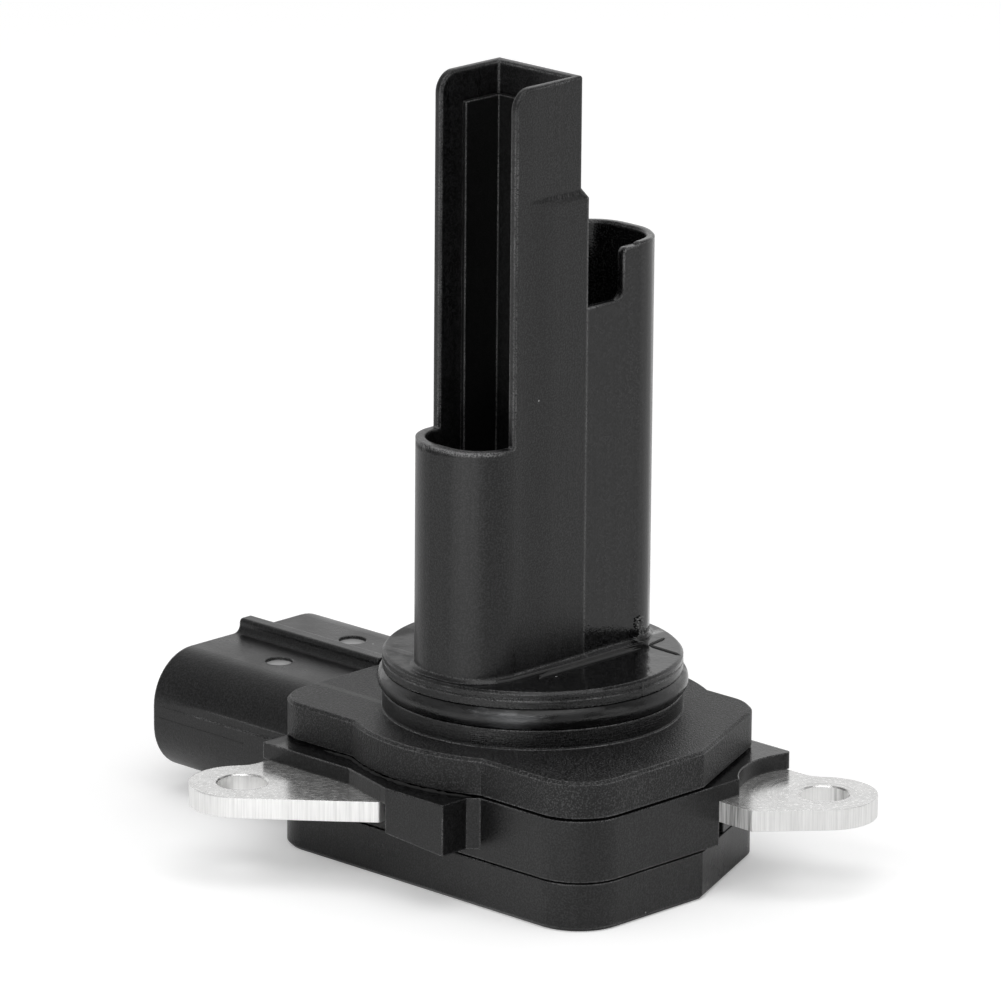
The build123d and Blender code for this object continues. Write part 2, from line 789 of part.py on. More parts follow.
# Parts on the board's underside
with BuildPart() as control_chip:
    with BuildSketch(Plane.XY.offset(board_base - chip_height)):
        with Locations((chip_x, chip_y)):
            Rectangle(chip_size, chip_size)
    extrude(amount=chip_height)
with BuildPart() as power_transistor:
    with BuildSketch(Plane.XY.offset(board_base - transistor_height)):
        with Locations((transistor_x, transistor_y)):
            Rectangle(transistor_width, transistor_length)
    extrude(amount=transistor_height)
capacitors = []
for number in range(capacitor_count):
    capacitor_y = (number - (capacitor_count - 1) / 2) * capacitor_pitch
    with BuildPart() as capacitor:
        with BuildSketch(Plane.XY.offset(board_base - capacitor_height)):
            with Locations((capacitor_x, capacitor_y)):
                Rectangle(capacitor_width, capacitor_length)
        extrude(amount=capacitor_height)
    capacitor.part.label = f"capacitor_{number + 1}"
    capacitors.append(capacitor.part)

# Bond ribbons from the terminals to the board
ribbon_start_z = shroud_centre_z - terminal_thickness / 2
ribbon_low = ribbon_start_z - ribbon_drop
ribbon_start_x = terminal_inner_x - ribbon_end_inset
ribbon_end_x = board_margin - panel_left + ribbon_end_inset
with BuildPart() as bond_ribbons:
    for ribbon_y in terminal_ys:
        with BuildSketch(Plane.XZ.offset(-ribbon_y)):
            with BuildLine():
                Polyline(
                    (ribbon_start_x, ribbon_start_z),
                    (ribbon_start_x, ribbon_low),
                    (ribbon_end_x, ribbon_low),
                    (ribbon_end_x, board_base),
                    (ribbon_end_x - ribbon_thickness, board_base),
                    (ribbon_end_x - ribbon_thickness, ribbon_low + ribbon_thickness),
                    (ribbon_start_x + ribbon_thickness, ribbon_low + ribbon_thickness),
                    (ribbon_start_x + ribbon_thickness, ribbon_start_z),
                    close=True,
                )
            make_face()
        extrude(amount=ribbon_width / 2, both=True)

sensor_housing.part.label = "sensor_housing"
channel_liner.part.label = "channel_liner"
element_holder.part.label = "element_holder"
heated_element.part.label = "heated_element"
reference_element.part.label = "reference_element"
air_thermistor.part.label = "air_thermistor"
seal_ring.part.label = "seal_ring"
connector_case.part.label = "connector_case"
mounting_plate.part.label = "mounting_plate"
bottom_cover.part.label = "bottom_cover"
lower_seal.part.label = "lower_seal"
upper_seal.part.label = "upper_seal"
circuit_board.part.label = "circuit_board"
control_chip.part.label = "control_chip"
power_transistor.part.label = "power_transistor"
bond_ribbons.part.label = "bond_ribbons"

pieces = [
    sensor_housing.part,
    channel_liner.part,
    element_holder.part,
    heated_element.part,
    reference_element.part,
    air_thermistor.part,
    seal_ring.part,
    connector_case.part,
    mounting_plate.part,
    bottom_cover.part,
    lower_seal.part,
    upper_seal.part,
    circuit_board.part,
    control_chip.part,
    power_transistor.part,
    bond_ribbons.part,
    *leads,
    *terminals,
    *capacitors,
]
for piece in pieces:
    export_step(piece, f"parts/{piece.label}.step")
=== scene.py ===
"""Finishes and fine detail of a plug-in mass airflow sensor, laid out as a Blender add-on.

All places are in metres in the sensor's own frame: +Z runs up the probe, -X is the way the connector
points, and the origin is on the spigot's axis at the underside of the bottom cover.
"""

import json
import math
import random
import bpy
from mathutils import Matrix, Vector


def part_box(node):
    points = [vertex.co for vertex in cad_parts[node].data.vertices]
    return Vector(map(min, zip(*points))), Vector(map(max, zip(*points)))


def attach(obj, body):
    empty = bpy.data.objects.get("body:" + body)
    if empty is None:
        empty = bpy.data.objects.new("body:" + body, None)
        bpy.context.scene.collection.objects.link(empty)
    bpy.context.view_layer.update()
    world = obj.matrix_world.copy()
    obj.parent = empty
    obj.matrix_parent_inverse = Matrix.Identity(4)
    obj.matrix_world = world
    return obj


bl_info = {
    "name": "Mass airflow sensor",
    "version": (1, 0, 0),
    "blender": (4, 5, 0),
    "location": "View3D > Sidebar > Sensor",
    "description": "Finishes, moulding marks and a photo stage for a mass airflow sensor",
    "category": "Object",
}

import bmesh
import bpy
from bpy.props import FloatProperty, FloatVectorProperty, IntProperty, PointerProperty
from mathutils import Matrix, Vector

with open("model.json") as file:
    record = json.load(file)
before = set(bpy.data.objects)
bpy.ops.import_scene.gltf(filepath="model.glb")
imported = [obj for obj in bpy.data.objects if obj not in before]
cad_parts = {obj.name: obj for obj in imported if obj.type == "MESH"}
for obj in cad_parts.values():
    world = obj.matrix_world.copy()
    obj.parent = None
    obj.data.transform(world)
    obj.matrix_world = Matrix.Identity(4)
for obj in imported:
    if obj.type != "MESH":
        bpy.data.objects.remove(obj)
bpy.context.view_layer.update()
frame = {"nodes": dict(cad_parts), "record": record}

MM = 0.001

# Sockets of a Mix node that is set to colours
COLOUR_A = 6
COLOUR_B = 7
COLOUR_RESULT = 2

WHITE = (1, 1, 1, 1)
PLASTIC_IOR = 1.44
FLAP_REACH = 1.5 * MM  # From the probe's side to the lip of the flash
LINE_HEIGHT = 0.07 * MM  # Of the parting lines

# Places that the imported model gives
mounts = {mount["name"]: mount for mount in frame["record"]["mounts"]}
flange_top = mounts["flange_seat"]["pos_m"][2]
case_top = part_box("upper_seal")[0][2]
shroud_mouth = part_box("connector_case")[0][0]


def length_setting(name, description, default):
    """A length in metres that the sidebar shows to a thousandth of a millimetre."""
    return FloatProperty(name=name, description=description, default=default, unit="LENGTH", precision=6)


def place_setting(name, description, default):
    """A place in the sensor's frame."""
    return FloatVectorProperty(
        name=name, description=description, default=default, subtype="TRANSLATION", size=3)


def colour_setting(name, description, default):
    """A base colour in linear light."""
    return FloatVectorProperty(
        name=name, description=description, default=default, subtype="COLOR", size=3)


class SensorSizes(bpy.types.PropertyGroup):
    """Sizes of the forms that the finishes follow, of the moulding marks and of the textures."""

    spigot_radius: length_setting("Spigot radius", "Radius of the spigot's land and disc", 14.2 * MM)
    disc_base: length_setting("Disc base", "Height of the underside of the spigot's disc", 18.5 * MM)
    spigot_top: length_setting("Spigot top", "Height of the disc that the probe stands on", 20.1 * MM)
    base_half_width: length_setting(
        "Base half width", "Half the width of the case and the flange", 15.6 * MM)
    bulge_radius: length_setting("Flange bulge radius", "Radius of the flange's rounded sides", 17.7 * MM)
    probe_half_width: length_setting("Probe half width", "Half the width of the probe", 5.5 * MM)
    probe_corner: length_setting("Probe corner radius", "Radius of the probe's rounded corners", 4.6 * MM)
    probe_half_length: length_setting(
        "Probe half length", "Half the length of the probe's section", 13.1 * MM)
    tube_front: length_setting("Rear tube front", "Where the side of the rear tube begins", 1.2 * MM)
    mouth_height: length_setting("Mouth height", "Height of the rim of the channel's mouth", 42.3 * MM)
    step_height: length_setting(
        "Step height", "Height of the sharp edge of the step below the probe's tip", 65.05 * MM)
    shroud_half_width: length_setting(
        "Shroud half width", "Half the width of the connector's shroud", 12.5 * MM)
    swirled_hole: place_setting(
        "Swirled hole", "Centre of the screw hole with turning marks round it", (26.4 * MM, 12.0 * MM, 0.0))
    hole_radius: length_setting("Hole radius", "Radius of the screw holes in the plate", 2.35 * MM)
    coin_radius: length_setting(
        "Coined ring radius", "Radius of the pressed ring round that hole", 3.1 * MM)
    swirl_reach: length_setting("Swirl reach", "Radius at which the turning marks fade out", 8.5 * MM)
    # Painted highlight on the seal ring: the pale smear stands in for a lamp's reflection
    ring_highlight_place: place_setting(
        "Grease smear", "Middle of the pale smear on the front of the seal ring",
        (8.2 * MM, -12.6 * MM, 17.2 * MM))
    dimple_place: place_setting(
        "Dimple", "Centre of one dimple on the connector. The other mirrors it", (-29 * MM, 5 * MM, 0.0))
    dimple_radius: length_setting("Dimple radius", "Radius of the dimples on the connector", 1.3 * MM)
    flash_width: length_setting(
        "Flash width", "Width of the moulding flash at the probe's root", 0.3 * MM)
    flash_height: length_setting("Flash height", "Height of the moulding flash above the disc", 0.2 * MM)
    line_width: length_setting("Parting line width", "Width of the raised parting lines", 0.14 * MM)
    edge_rounding: length_setting(
        "Edge rounding", "Radius at which moulded edges catch the light", 0.27 * MM)
    rim_rounding: length_setting(
        "Rim rounding", "Radius at which the probe's open rims catch the light", 0.45 * MM)
    grain_per_metre: FloatProperty(
        name="Grain", description="Grains of the moulded texture in one metre",
        default=6400.0, min=100.0)
    dust_share: FloatProperty(
        name="Dust", description="Share of the small cells of the surface that hold a speck of dust",
        default=0.006, min=0.0, max=1.0, subtype="FACTOR", precision=4)
    shear_marks_per_metre: FloatProperty(
        name="Shear marks", description="Marks of the shearing on one metre of cut edge",
        default=4200.0, min=100.0)
    bead_sides: IntProperty(
        name="Bead sides", description="Sides of the section of each bead",
        default=10, min=6, max=32)


class SensorColours(bpy.types.PropertyGroup):
    """Base colours of the finishes, in linear light."""

    housing: colour_setting(
        "Housing", "Charcoal black plastic of the probe and flange", (0.0045, 0.0045, 0.0047))
    case: colour_setting("Case", "Black plastic of the connector case", (0.0042, 0.0042, 0.0044))
    cover: colour_setting("Cover", "Black plastic of the bottom cover", (0.0046, 0.0046, 0.0048))
    liner: colour_setting("Liner", "Black plastic inside the channel", (0.0028, 0.0028, 0.0029))
    rubbed: colour_setting(
        "Rubbed grains", "Grey of the pale grains of a moulded face", (0.065, 0.065, 0.066))
    # Painted highlight and wear: light grey on rounded edges that catch the light or are rubbed, also used
    # for dust specks
    sheen_and_wear: colour_setting("Worn edge", "Light grey of scuffed edges and of dust", (0.26, 0.26, 0.262))
    torn: colour_setting(
        "Torn flash", "Dull grey of the torn flash beside the rear tube", (0.11, 0.11, 0.11))
    rubber: colour_setting("Rubber", "Black rubber of the seal ring", (0.0038, 0.0038, 0.004))
    adhesive: colour_setting("Adhesive", "Black adhesive between the layers", (0.002, 0.002, 0.002))
    aluminium: colour_setting("Aluminium", "Bare aluminium of the mounting plate", (0.9, 0.897, 0.888))
    tin: colour_setting("Tin", "Tin plate of the terminals and leads", (0.66, 0.65, 0.62))
    lacquer: colour_setting("Board lacquer", "Green lacquer of the circuit board", (0.012, 0.085, 0.035))
    ceramic: colour_setting("Ceramic", "White ceramic of the film elements", (0.72, 0.72, 0.7))
    # Painted highlight: the dimples' grey stands in for the light that their glossy floors reflect
    dimple: colour_setting(
        "Dimple", "Grey of the connector's shallow dimples, which face the light", (0.34, 0.34, 0.34))
    # Painted highlight: pale grey that stands in for a lamp's reflection on the seal ring's front
    ring_highlight: colour_setting("Grease", "Pale smear of grease on the seal ring", (0.085, 0.087, 0.09))
    capacitor: colour_setting("Capacitor", "Brown ceramic of the capacitors", (0.35, 0.24, 0.15))
    floor: colour_setting("Floor", "White floor under the sensor", (0.88, 0.88, 0.88))


class SensorView(bpy.types.PropertyGroup):
    """Where the camera stands."""

    azimuth: FloatProperty(
        name="Azimuth", description="Turn of the camera from +X towards -Y",
        default=math.radians(46.073), subtype="ANGLE")
    elevation: FloatProperty(
        name="Elevation", description="Angle of the camera above the horizon",
        default=math.radians(16.028), subtype="ANGLE")
    roll: FloatProperty(
        name="Roll", description="Turn of the camera about its own axis",
        default=math.radians(0.477), subtype="ANGLE")
    distance: length_setting("Distance", "Distance from the camera to its target", 831.08 * MM)
    target: place_setting(
        "Target", "Point that the camera looks at", (-2.05 * MM, -2.44 * MM, 34.66 * MM))
    lens: FloatProperty(
        name="Lens", description="Focal length on a sensor 36 mm wide",
        default=318.75)


def feed(tree, socket, value):
    """Links a socket to what feeds it, or sets a plain value on it."""
    if isinstance(value, bpy.types.NodeSocket):
        tree.links.new(value, socket)
    else:
        socket.default_value = value


def add_node(tree, kind, inputs=None, **settings):
    """A node with its settings made and its inputs set or linked."""
    made = tree.nodes.new(kind)
    for name, value in settings.items():
        setattr(made, name, value)
    for name, value in (inputs or {}).items():
        feed(tree, made.inputs[name], value)
    return made


def maths(tree, operation, first, second=0.0, clamp=False):
    """The result of one Math node."""
    made = add_node(tree, "ShaderNodeMath", {0: first, 1: second}, operation=operation, use_clamp=clamp)
    return made.outputs[0]


def plus(tree, first, second, clamp=False):
    """Two values added."""
    return maths(tree, "ADD", first, second, clamp)


def minus(tree, first, second, clamp=False):
    """One value less another."""
    return maths(tree, "SUBTRACT", first, second, clamp)


def times(tree, first, second, clamp=False):
    """Two values multiplied."""
    return maths(tree, "MULTIPLY", first, second, clamp)


def vectors(tree, operation, first, second=(0, 0, 0), output="Vector"):
    """The result of one Vector Math node: a vector, or its Value where output says so."""
    made = add_node(tree, "ShaderNodeVectorMath", {0: first, 1: second}, operation=operation)
    return made.outputs[output]


def axes(tree, vector):
    """The three values of a vector, by the name of their axis."""
    return add_node(tree, "ShaderNodeSeparateXYZ", {"Vector": vector}).outputs


def ramp(tree, value, low, high, start=0.0, end=1.0):
    """A value moved smoothly from start to end as another goes from low to high."""
    made = add_node(
        tree, "ShaderNodeMapRange",
        {"Value": value, "From Min": low, "From Max": high, "To Min": start, "To Max": end},
        interpolation_type="SMOOTHSTEP")
    return made.outputs["Result"]


def noise(tree, vector, scale, detail=3.0, roughness=0.55):
    """The factor of one Noise node."""
    made = add_node(
        tree, "ShaderNodeTexNoise",
        {"Vector": vector, "Scale": scale, "Detail": detail, "Roughness": roughness})
    return made.outputs["Fac"]


def stretch(tree, vector, scale, turn=0.0):
    """A vector turned about Z, then scaled along its three axes."""
    turned = add_node(tree, "ShaderNodeMapping", {"Vector": vector, "Rotation": (0, 0, turn)})
    made = add_node(tree, "ShaderNodeMapping", {"Vector": turned.outputs["Vector"], "Scale": scale})
    return made.outputs["Vector"]


def tint(tree, colour, factor):
    """A colour made lighter or darker by a factor."""
    made = add_node(
        tree, "ShaderNodeVectorMath", {0: (*colour,), "Scale": factor}, operation="SCALE")
    return made.outputs["Vector"]


def blend_values(tree, share, low, high):
    """A value between two others, by a share that changes over the surface."""
    made = add_node(tree, "ShaderNodeMix", {"Factor": share, "A": low, "B": high})
    return made.outputs["Result"]


def blend_colours(tree, share, low, high):
    """A colour between two others, by a share that changes over the surface."""
    made = add_node(tree, "ShaderNodeMix", {"Factor": share}, data_type="RGBA")
    for number, colour in ((COLOUR_A, low), (COLOUR_B, high)):
        linked = isinstance(colour, bpy.types.NodeSocket)
        feed(tree, made.inputs[number], colour if linked else (*colour, 1.0))
    return made.outputs[COLOUR_RESULT]


def new_group(name, numbers, results):
    """An empty shader group that is given a vector and numbers, with its given and result sockets."""
    tree = bpy.data.node_groups.new(name, "ShaderNodeTree")
    tree.interface.new_socket("Vector", in_out="INPUT", socket_type="NodeSocketVector")
    for label, value in numbers.items():
        made = tree.interface.new_socket(label, in_out="INPUT", socket_type="NodeSocketFloat")
        made.default_value = value
    for label, kind in results.items():
        tree.interface.new_socket(label, in_out="OUTPUT", socket_type="NodeSocket" + kind)
    return tree, tree.nodes.new("NodeGroupInput").outputs, tree.nodes.new("NodeGroupOutput").inputs


def give(tree, results, **values):
    """Links what a group has worked out to its results."""
    for label, value in values.items():
        tree.links.new(value, results[label])
    return tree


def moulded_grain_group():
    """Fine sand texture of a moulded face: its height, its pale grains, and how light each grain is."""
    tree, given, results = new_group(
        "moulded_grain", {"Grains": 6400.0}, {"Height": "Float", "Pale": "Float", "Tone": "Float"})
    fine = noise(tree, given["Vector"], given["Grains"], 1.0, 0.5)
    coarse = noise(tree, given["Vector"], times(tree, given["Grains"], 0.55), 2.0, 0.5)
    height = plus(tree, times(tree, fine, 0.6), times(tree, coarse, 0.4))
    cloud = ramp(tree, noise(tree, given["Vector"], 170.0, 3.0, 0.6), 0.3, 0.7, 0.4, 1.0)
    pale = times(tree, ramp(tree, fine, 0.5, 0.7), cloud)
    tone = ramp(tree, fine, 0.34, 0.66, 0.0, 2.6)
    return give(tree, results, Height=height, Pale=pale, Tone=tone)


def draw_marks_group():
    """Faint streaks along Z, left by the mould as the part is pushed out."""
    tree, given, results = new_group(
        "draw_marks", {"Across": 900.0, "Along": 26.0}, {"Height": "Float", "Tone": "Float"})
    scale = add_node(
        tree, "ShaderNodeCombineXYZ", {"X": given["Across"], "Y": given["Across"], "Z": given["Along"]})
    drawn = vectors(tree, "MULTIPLY", given["Vector"], scale.outputs[0])
    streak = noise(tree, drawn, 1.0, 4.0, 0.62)
    tone = ramp(tree, streak, 0.32, 0.68, 0.86, 1.14)
    return give(tree, results, Height=streak, Tone=tone)


def soft_edges_group():
    """Edges rounded for the light, and a broken mask of painted highlight and wear along them."""
    tree, given, results = new_group(
        "soft_edges", {"Radius": 0.0002, "Breaks": 7000.0}, {"Mask": "Float", "Normal": "Vector"})
    rounded = add_node(tree, "ShaderNodeBevel", {"Radius": given["Radius"]}, samples=6).outputs["Normal"]
    flat = add_node(tree, "ShaderNodeNewGeometry").outputs["Normal"]
    turned = minus(tree, 1.0, vectors(tree, "DOT_PRODUCT", rounded, flat, "Value"))
    edge = ramp(tree, turned, 0.006, 0.1)
    broken = noise(tree, given["Vector"], given["Breaks"], 3.0, 0.6)
    # Patches along the edges that get the painted highlight and wear
    sheen_and_wear = noise(tree, given["Vector"], 240.0, 2.0, 0.5)
    speckled = times(tree, ramp(tree, broken, 0.36, 0.6), ramp(tree, sheen_and_wear, 0.35, 0.65, 0.35, 1.0))
    mask = times(tree, edge, speckled, clamp=True)
    return give(tree, results, Mask=mask, Normal=rounded)


def dust_group():
    """Sparse pale specks of dust and lint."""
    tree, given, results = new_group("dust", {"Cells": 900.0, "Share": 0.04}, {"Mask": "Float"})
    cells = add_node(tree, "ShaderNodeTexVoronoi", {"Vector": given["Vector"], "Scale": given["Cells"]})
    near = maths(tree, "LESS_THAN", cells.outputs["Distance"], 0.1)
    pick = add_node(tree, "ShaderNodeSeparateColor", {"Color": cells.outputs["Color"]})
    chosen = maths(tree, "LESS_THAN", pick.outputs["Red"], given["Share"])
    return give(tree, results, Mask=times(tree, near, chosen))


GROUPS = {
    "moulded_grain": moulded_grain_group,
    "draw_marks": draw_marks_group,
    "soft_edges": soft_edges_group,
    "dust": dust_group,
}


def use_group(tree, name, inputs):
    """The outputs of a shader group placed in a material, built the first time it is used."""
    group = bpy.data.node_groups.get(name) or GROUPS[name]()
    return add_node(tree, "ShaderNodeGroup", inputs, node_tree=group).outputs


def new_finish(name, **values):
    """A material with its Principled shader, and its Object coordinates."""
    material = bpy.data.materials.new(name)
    material.use_nodes = True
    tree = material.node_tree
    shader = tree.nodes["Principled BSDF"]
    for label, value in values.items():
        shader.inputs[label.replace("_", " ").title().replace("Ior", "IOR")].default_value = value
    place = add_node(tree, "ShaderNodeTexCoord").outputs["Object"]
    return material, tree, shader, place


def finish_with(tree, shader, colour, roughness, height, depth, normal=None):
    """Links what varies over the surface to the shader. Depth is the height's full range in metres."""
    tree.links.new(colour, shader.inputs["Base Color"])
    tree.links.new(roughness, shader.inputs["Roughness"])
    bump = add_node(tree, "ShaderNodeBump", {"Height": height, "Distance": depth})
    if normal is not None:
        tree.links.new(normal, bump.inputs["Normal"])
    tree.links.new(bump.outputs["Normal"], shader.inputs["Normal"])


def coat_nodes(material, *names):
    """Gives a material to every slot of the named solids."""
    for name in names:
        for place in frame["nodes"][name].material_slots:
            place.material = material


def sunk_step(tree, along, sizes, wobble):
    """Extra height above the step in the probe's right side, so that the step's edge is crisp."""
    slope = -0.02
    edge = plus(tree, times(tree, minus(tree, wobble, 0.5), 0.5 * MM), times(tree, along["Y"], slope))
    above = minus(tree, minus(tree, along["Z"], edge), sizes.step_height)
    height = ramp(tree, above, 0.0, 0.5 * MM, 1.0, 0.0)
    behind_tip = ramp(tree, along["Y"], -7.6 * MM, -3 * MM)
    on_right_side = ramp(tree, along["X"], 4 * MM, 5 * MM, 0.0, 3.2)
    return times(tree, height, times(tree, behind_tip, on_right_side))


def dressed_lip(tree, along, sizes, wobble):
    """Extra height below the left of the mouth's rim, where the rim was dressed back."""
    level = plus(tree, along["Z"], times(tree, minus(tree, wobble, 0.5), 0.8 * MM))
    rim = sizes.mouth_height
    height = ramp(tree, level, rim - 0.75 * MM, rim - 0.15 * MM, 3.4, 0.0)
    on_left = ramp(tree, along["X"], -2 * MM, 3 * MM, 1.0, 0.0)
    in_front = ramp(tree, along["Y"], -10 * MM, -9 * MM, 1.0, 0.0)
    return times(tree, height, times(tree, on_left, in_front))


def lip_glints_and_wear(tree, place, along, sizes):
    """A speckled mask of painted glints and wear along the front of the mouth's rim, fainter towards the
    left.
    """
    rim = sizes.mouth_height
    over_rim = ramp(tree, along["Z"], rim - 0.5 * MM, rim - 0.2 * MM)
    lip = times(tree, over_rim, ramp(tree, along["Z"], rim + 0.05 * MM, rim + 0.15 * MM, 1.0, 0.0))
    lip = times(tree, lip, ramp(tree, along["Y"], -9 * MM, -11 * MM))
    lip = times(tree, lip, ramp(tree, along["X"], -5 * MM, 1 * MM, 0.25, 1.0))
    speckle = ramp(tree, noise(tree, place, 6500.0, 2.0, 0.6), 0.4, 0.62, 0.0, 0.7)
    return times(tree, lip, speckle)


def spigot_sheen(tree, place, along):
    """Roughness of the spigot: patchy, dull at the left of the photo's view and glossy at its right."""
    rightward = plus(tree, along["X"], along["Y"])
    dulled = ramp(tree, rightward, -14 * MM, -6 * MM, 0.24, 0.0)
    dulled = plus(tree, dulled, ramp(tree, rightward, 4 * MM, 12 * MM, 0.0, -0.08))
    patchy = ramp(tree, noise(tree, place, 230.0, 4.0, 0.65), 0.35, 0.65, 0.1, 0.28)
    return plus(tree, dulled, patchy)


def housing_finish(sizes, colours):
    """Sanded flange, glossy spigot with turned edges, and a satin probe with draw marks and rims that carry
    painted highlights and wear.
    """
    material, tree, shader, place = new_finish("housing_plastic", ior=PLASTIC_IOR)
    along = axes(tree, place)
    level = along["Z"]
    disc = sizes.spigot_top
    sanded = ramp(tree, level, flange_top + 0.15 * MM, flange_top + 0.25 * MM, 1.0, 0.0)
    drawn = ramp(tree, level, disc + 0.05 * MM, disc + 0.4 * MM)
    rear = ramp(tree, along["Y"], sizes.tube_front - 0.2 * MM, sizes.tube_front)
    grain = use_group(tree, "moulded_grain", {"Vector": place, "Grains": sizes.grain_per_metre})
    marks = use_group(tree, "draw_marks", {"Vector": place, "Across": 1100.0, "Along": 30.0})
    edge_radius = blend_values(tree, drawn, sizes.edge_rounding, sizes.rim_rounding)
    edges = use_group(tree, "soft_edges", {"Vector": place, "Radius": edge_radius})
    specks = use_group(tree, "dust", {"Vector": place, "Share": sizes.dust_share})["Mask"]

    turned = noise(tree, stretch(tree, place, (1.0, 1.0, 9.0)), 700.0, 3.0, 0.65)
    on_spigot = minus(tree, minus(tree, 1.0, sanded), drawn, clamp=True)
    base_grain = blend_values(tree, sanded, 0.1, 1.7)
    grain_share = blend_values(tree, drawn, base_grain, blend_values(tree, rear, 0.5, 0.25))
    relief = times(tree, grain["Height"], grain_share)
    streaks = times(tree, marks["Height"], times(tree, drawn, 0.3))
    turning = times(tree, turned, times(tree, on_spigot, 0.6))
    relief = plus(tree, relief, plus(tree, streaks, turning))
    step = sunk_step(tree, along, sizes, marks["Height"])
    relief = plus(tree, relief, plus(tree, step, dressed_lip(tree, along, sizes, marks["Height"])))

    facing = add_node(tree, "ShaderNodeTexCoord").outputs["Normal"]
    # Painted top light: pale grains painted stronger on faces that look up
    top_lit_pale = ramp(tree, axes(tree, facing)["Z"], 0.5, 0.9, 0.6, 1.5)
    pale = times(tree, grain["Pale"], blend_values(tree, sanded, 0.12, top_lit_pale))
    plain = tint(tree, colours.housing, times(tree, marks["Tone"], grain["Tone"]))
    grained = blend_colours(tree, pale, plain, colours.rubbed)
    lip = lip_glints_and_wear(tree, place, along, sizes)
    # Painted highlight and wear on edges, painted glints and wear on the mouth's rim, and dust specks
    sheen_and_scuffs = plus(tree, times(tree, edges["Mask"], 0.8), plus(tree, lip, specks), clamp=True)
    colour = blend_colours(tree, sheen_and_scuffs, grained, colours.sheen_and_wear)

    spigot_roughness = spigot_sheen(tree, place, along)
    side_roughness = blend_values(tree, rear, 0.3, 0.15)
    streaked = ramp(tree, marks["Height"], 0.3, 0.7, -0.03, 0.05)
    foot = ramp(tree, level, disc + 3 * MM, disc + 6 * MM, 0.4, 1.0)
    side_roughness = times(tree, side_roughness, blend_values(tree, rear, 1.0, foot))
    probe_roughness = plus(tree, side_roughness, streaked)
    smooth_roughness = blend_values(tree, drawn, spigot_roughness, probe_roughness)
    roughness = blend_values(tree, sanded, smooth_roughness, 0.46)
    finish_with(tree, shader, colour, roughness, relief, 0.07 * MM, edges["Normal"])
    return material


def case_marks(tree, place, base, sizes, colours):
    """The case's colour with painted highlights on its two dimples, and how much less rough its ledge is.
    """
    flat = vectors(tree, "MULTIPLY", place, (1, 1, 0))
    near = 1.0
    for side in (-1, 1):
        centre = (sizes.dimple_place[0], side * sizes.dimple_place[1], 0)
        near = maths(tree, "MINIMUM", near, vectors(tree, "DISTANCE", flat, centre, "Value"))
    on_top = ramp(tree, axes(tree, place)["Z"], case_top - 1.5 * MM, case_top - 1.4 * MM)
    radius = sizes.dimple_radius
    dimples = times(tree, on_top, ramp(tree, near, radius - 0.05 * MM, radius, 1.0, 0.0))
    # Painted highlight on the dimples' floors
    marked = blend_colours(tree, dimples, base, colours.dimple)
    along = axes(tree, place)
    on_ledge = ramp(tree, along["Z"], case_top - 0.2 * MM, case_top - 0.1 * MM)
    return marked, times(tree, on_ledge, ramp(tree, along["X"], -17 * MM, -16 * MM, 0.0, -0.19))


def satin_finish(name, colour, colours, sizes, roughness, grain_depth, streak_share, own_marks=None):
    """Black moulded plastic, smooth or lightly grained. Own marks are those of one piece."""
    material, tree, shader, place = new_finish(name, ior=PLASTIC_IOR)
    grain = use_group(tree, "moulded_grain", {"Vector": place, "Grains": sizes.grain_per_metre})
    marks = use_group(tree, "draw_marks", {"Vector": place, "Across": 1400.0, "Along": 60.0})
    edges = use_group(tree, "soft_edges", {"Vector": place, "Radius": sizes.edge_rounding})
    specks = use_group(tree, "dust", {"Vector": place, "Share": sizes.dust_share})["Mask"]
    relief = plus(tree, grain["Height"], times(tree, marks["Height"], streak_share))
    plain = tint(tree, colour, times(tree, marks["Tone"], grain["Tone"]))
    grained = blend_colours(tree, times(tree, grain["Pale"], 0.1), plain, colours.rubbed)
    # Painted highlight and wear on edges, and dust specks
    sheen_and_scuffs = plus(tree, times(tree, edges["Mask"], 0.6), specks, clamp=True)
    base = blend_colours(tree, sheen_and_scuffs, grained, colours.sheen_and_wear)
    if own_marks:
        base, less_rough = own_marks(tree, place, base, sizes, colours)
    sheen = ramp(tree, noise(tree, place, 210.0), 0.3, 0.7, roughness - 0.04, roughness + 0.04)
    if own_marks:
        sheen = plus(tree, sheen, less_rough)
    finish_with(tree, shader, base, sheen, relief, grain_depth, edges["Normal"])
    return material


def turning_marks(tree, level, reach, upright):
    """Noise drawn out into rings round the middle of a level vector."""
    ring_place = add_node(
        tree, "ShaderNodeCombineXYZ", {"X": times(tree, reach, 30.0), "Y": times(tree, upright, 0.01)})
    return noise(tree, vectors(tree, "ADD", ring_place.outputs[0], level), 140.0, 4.0, 0.7)


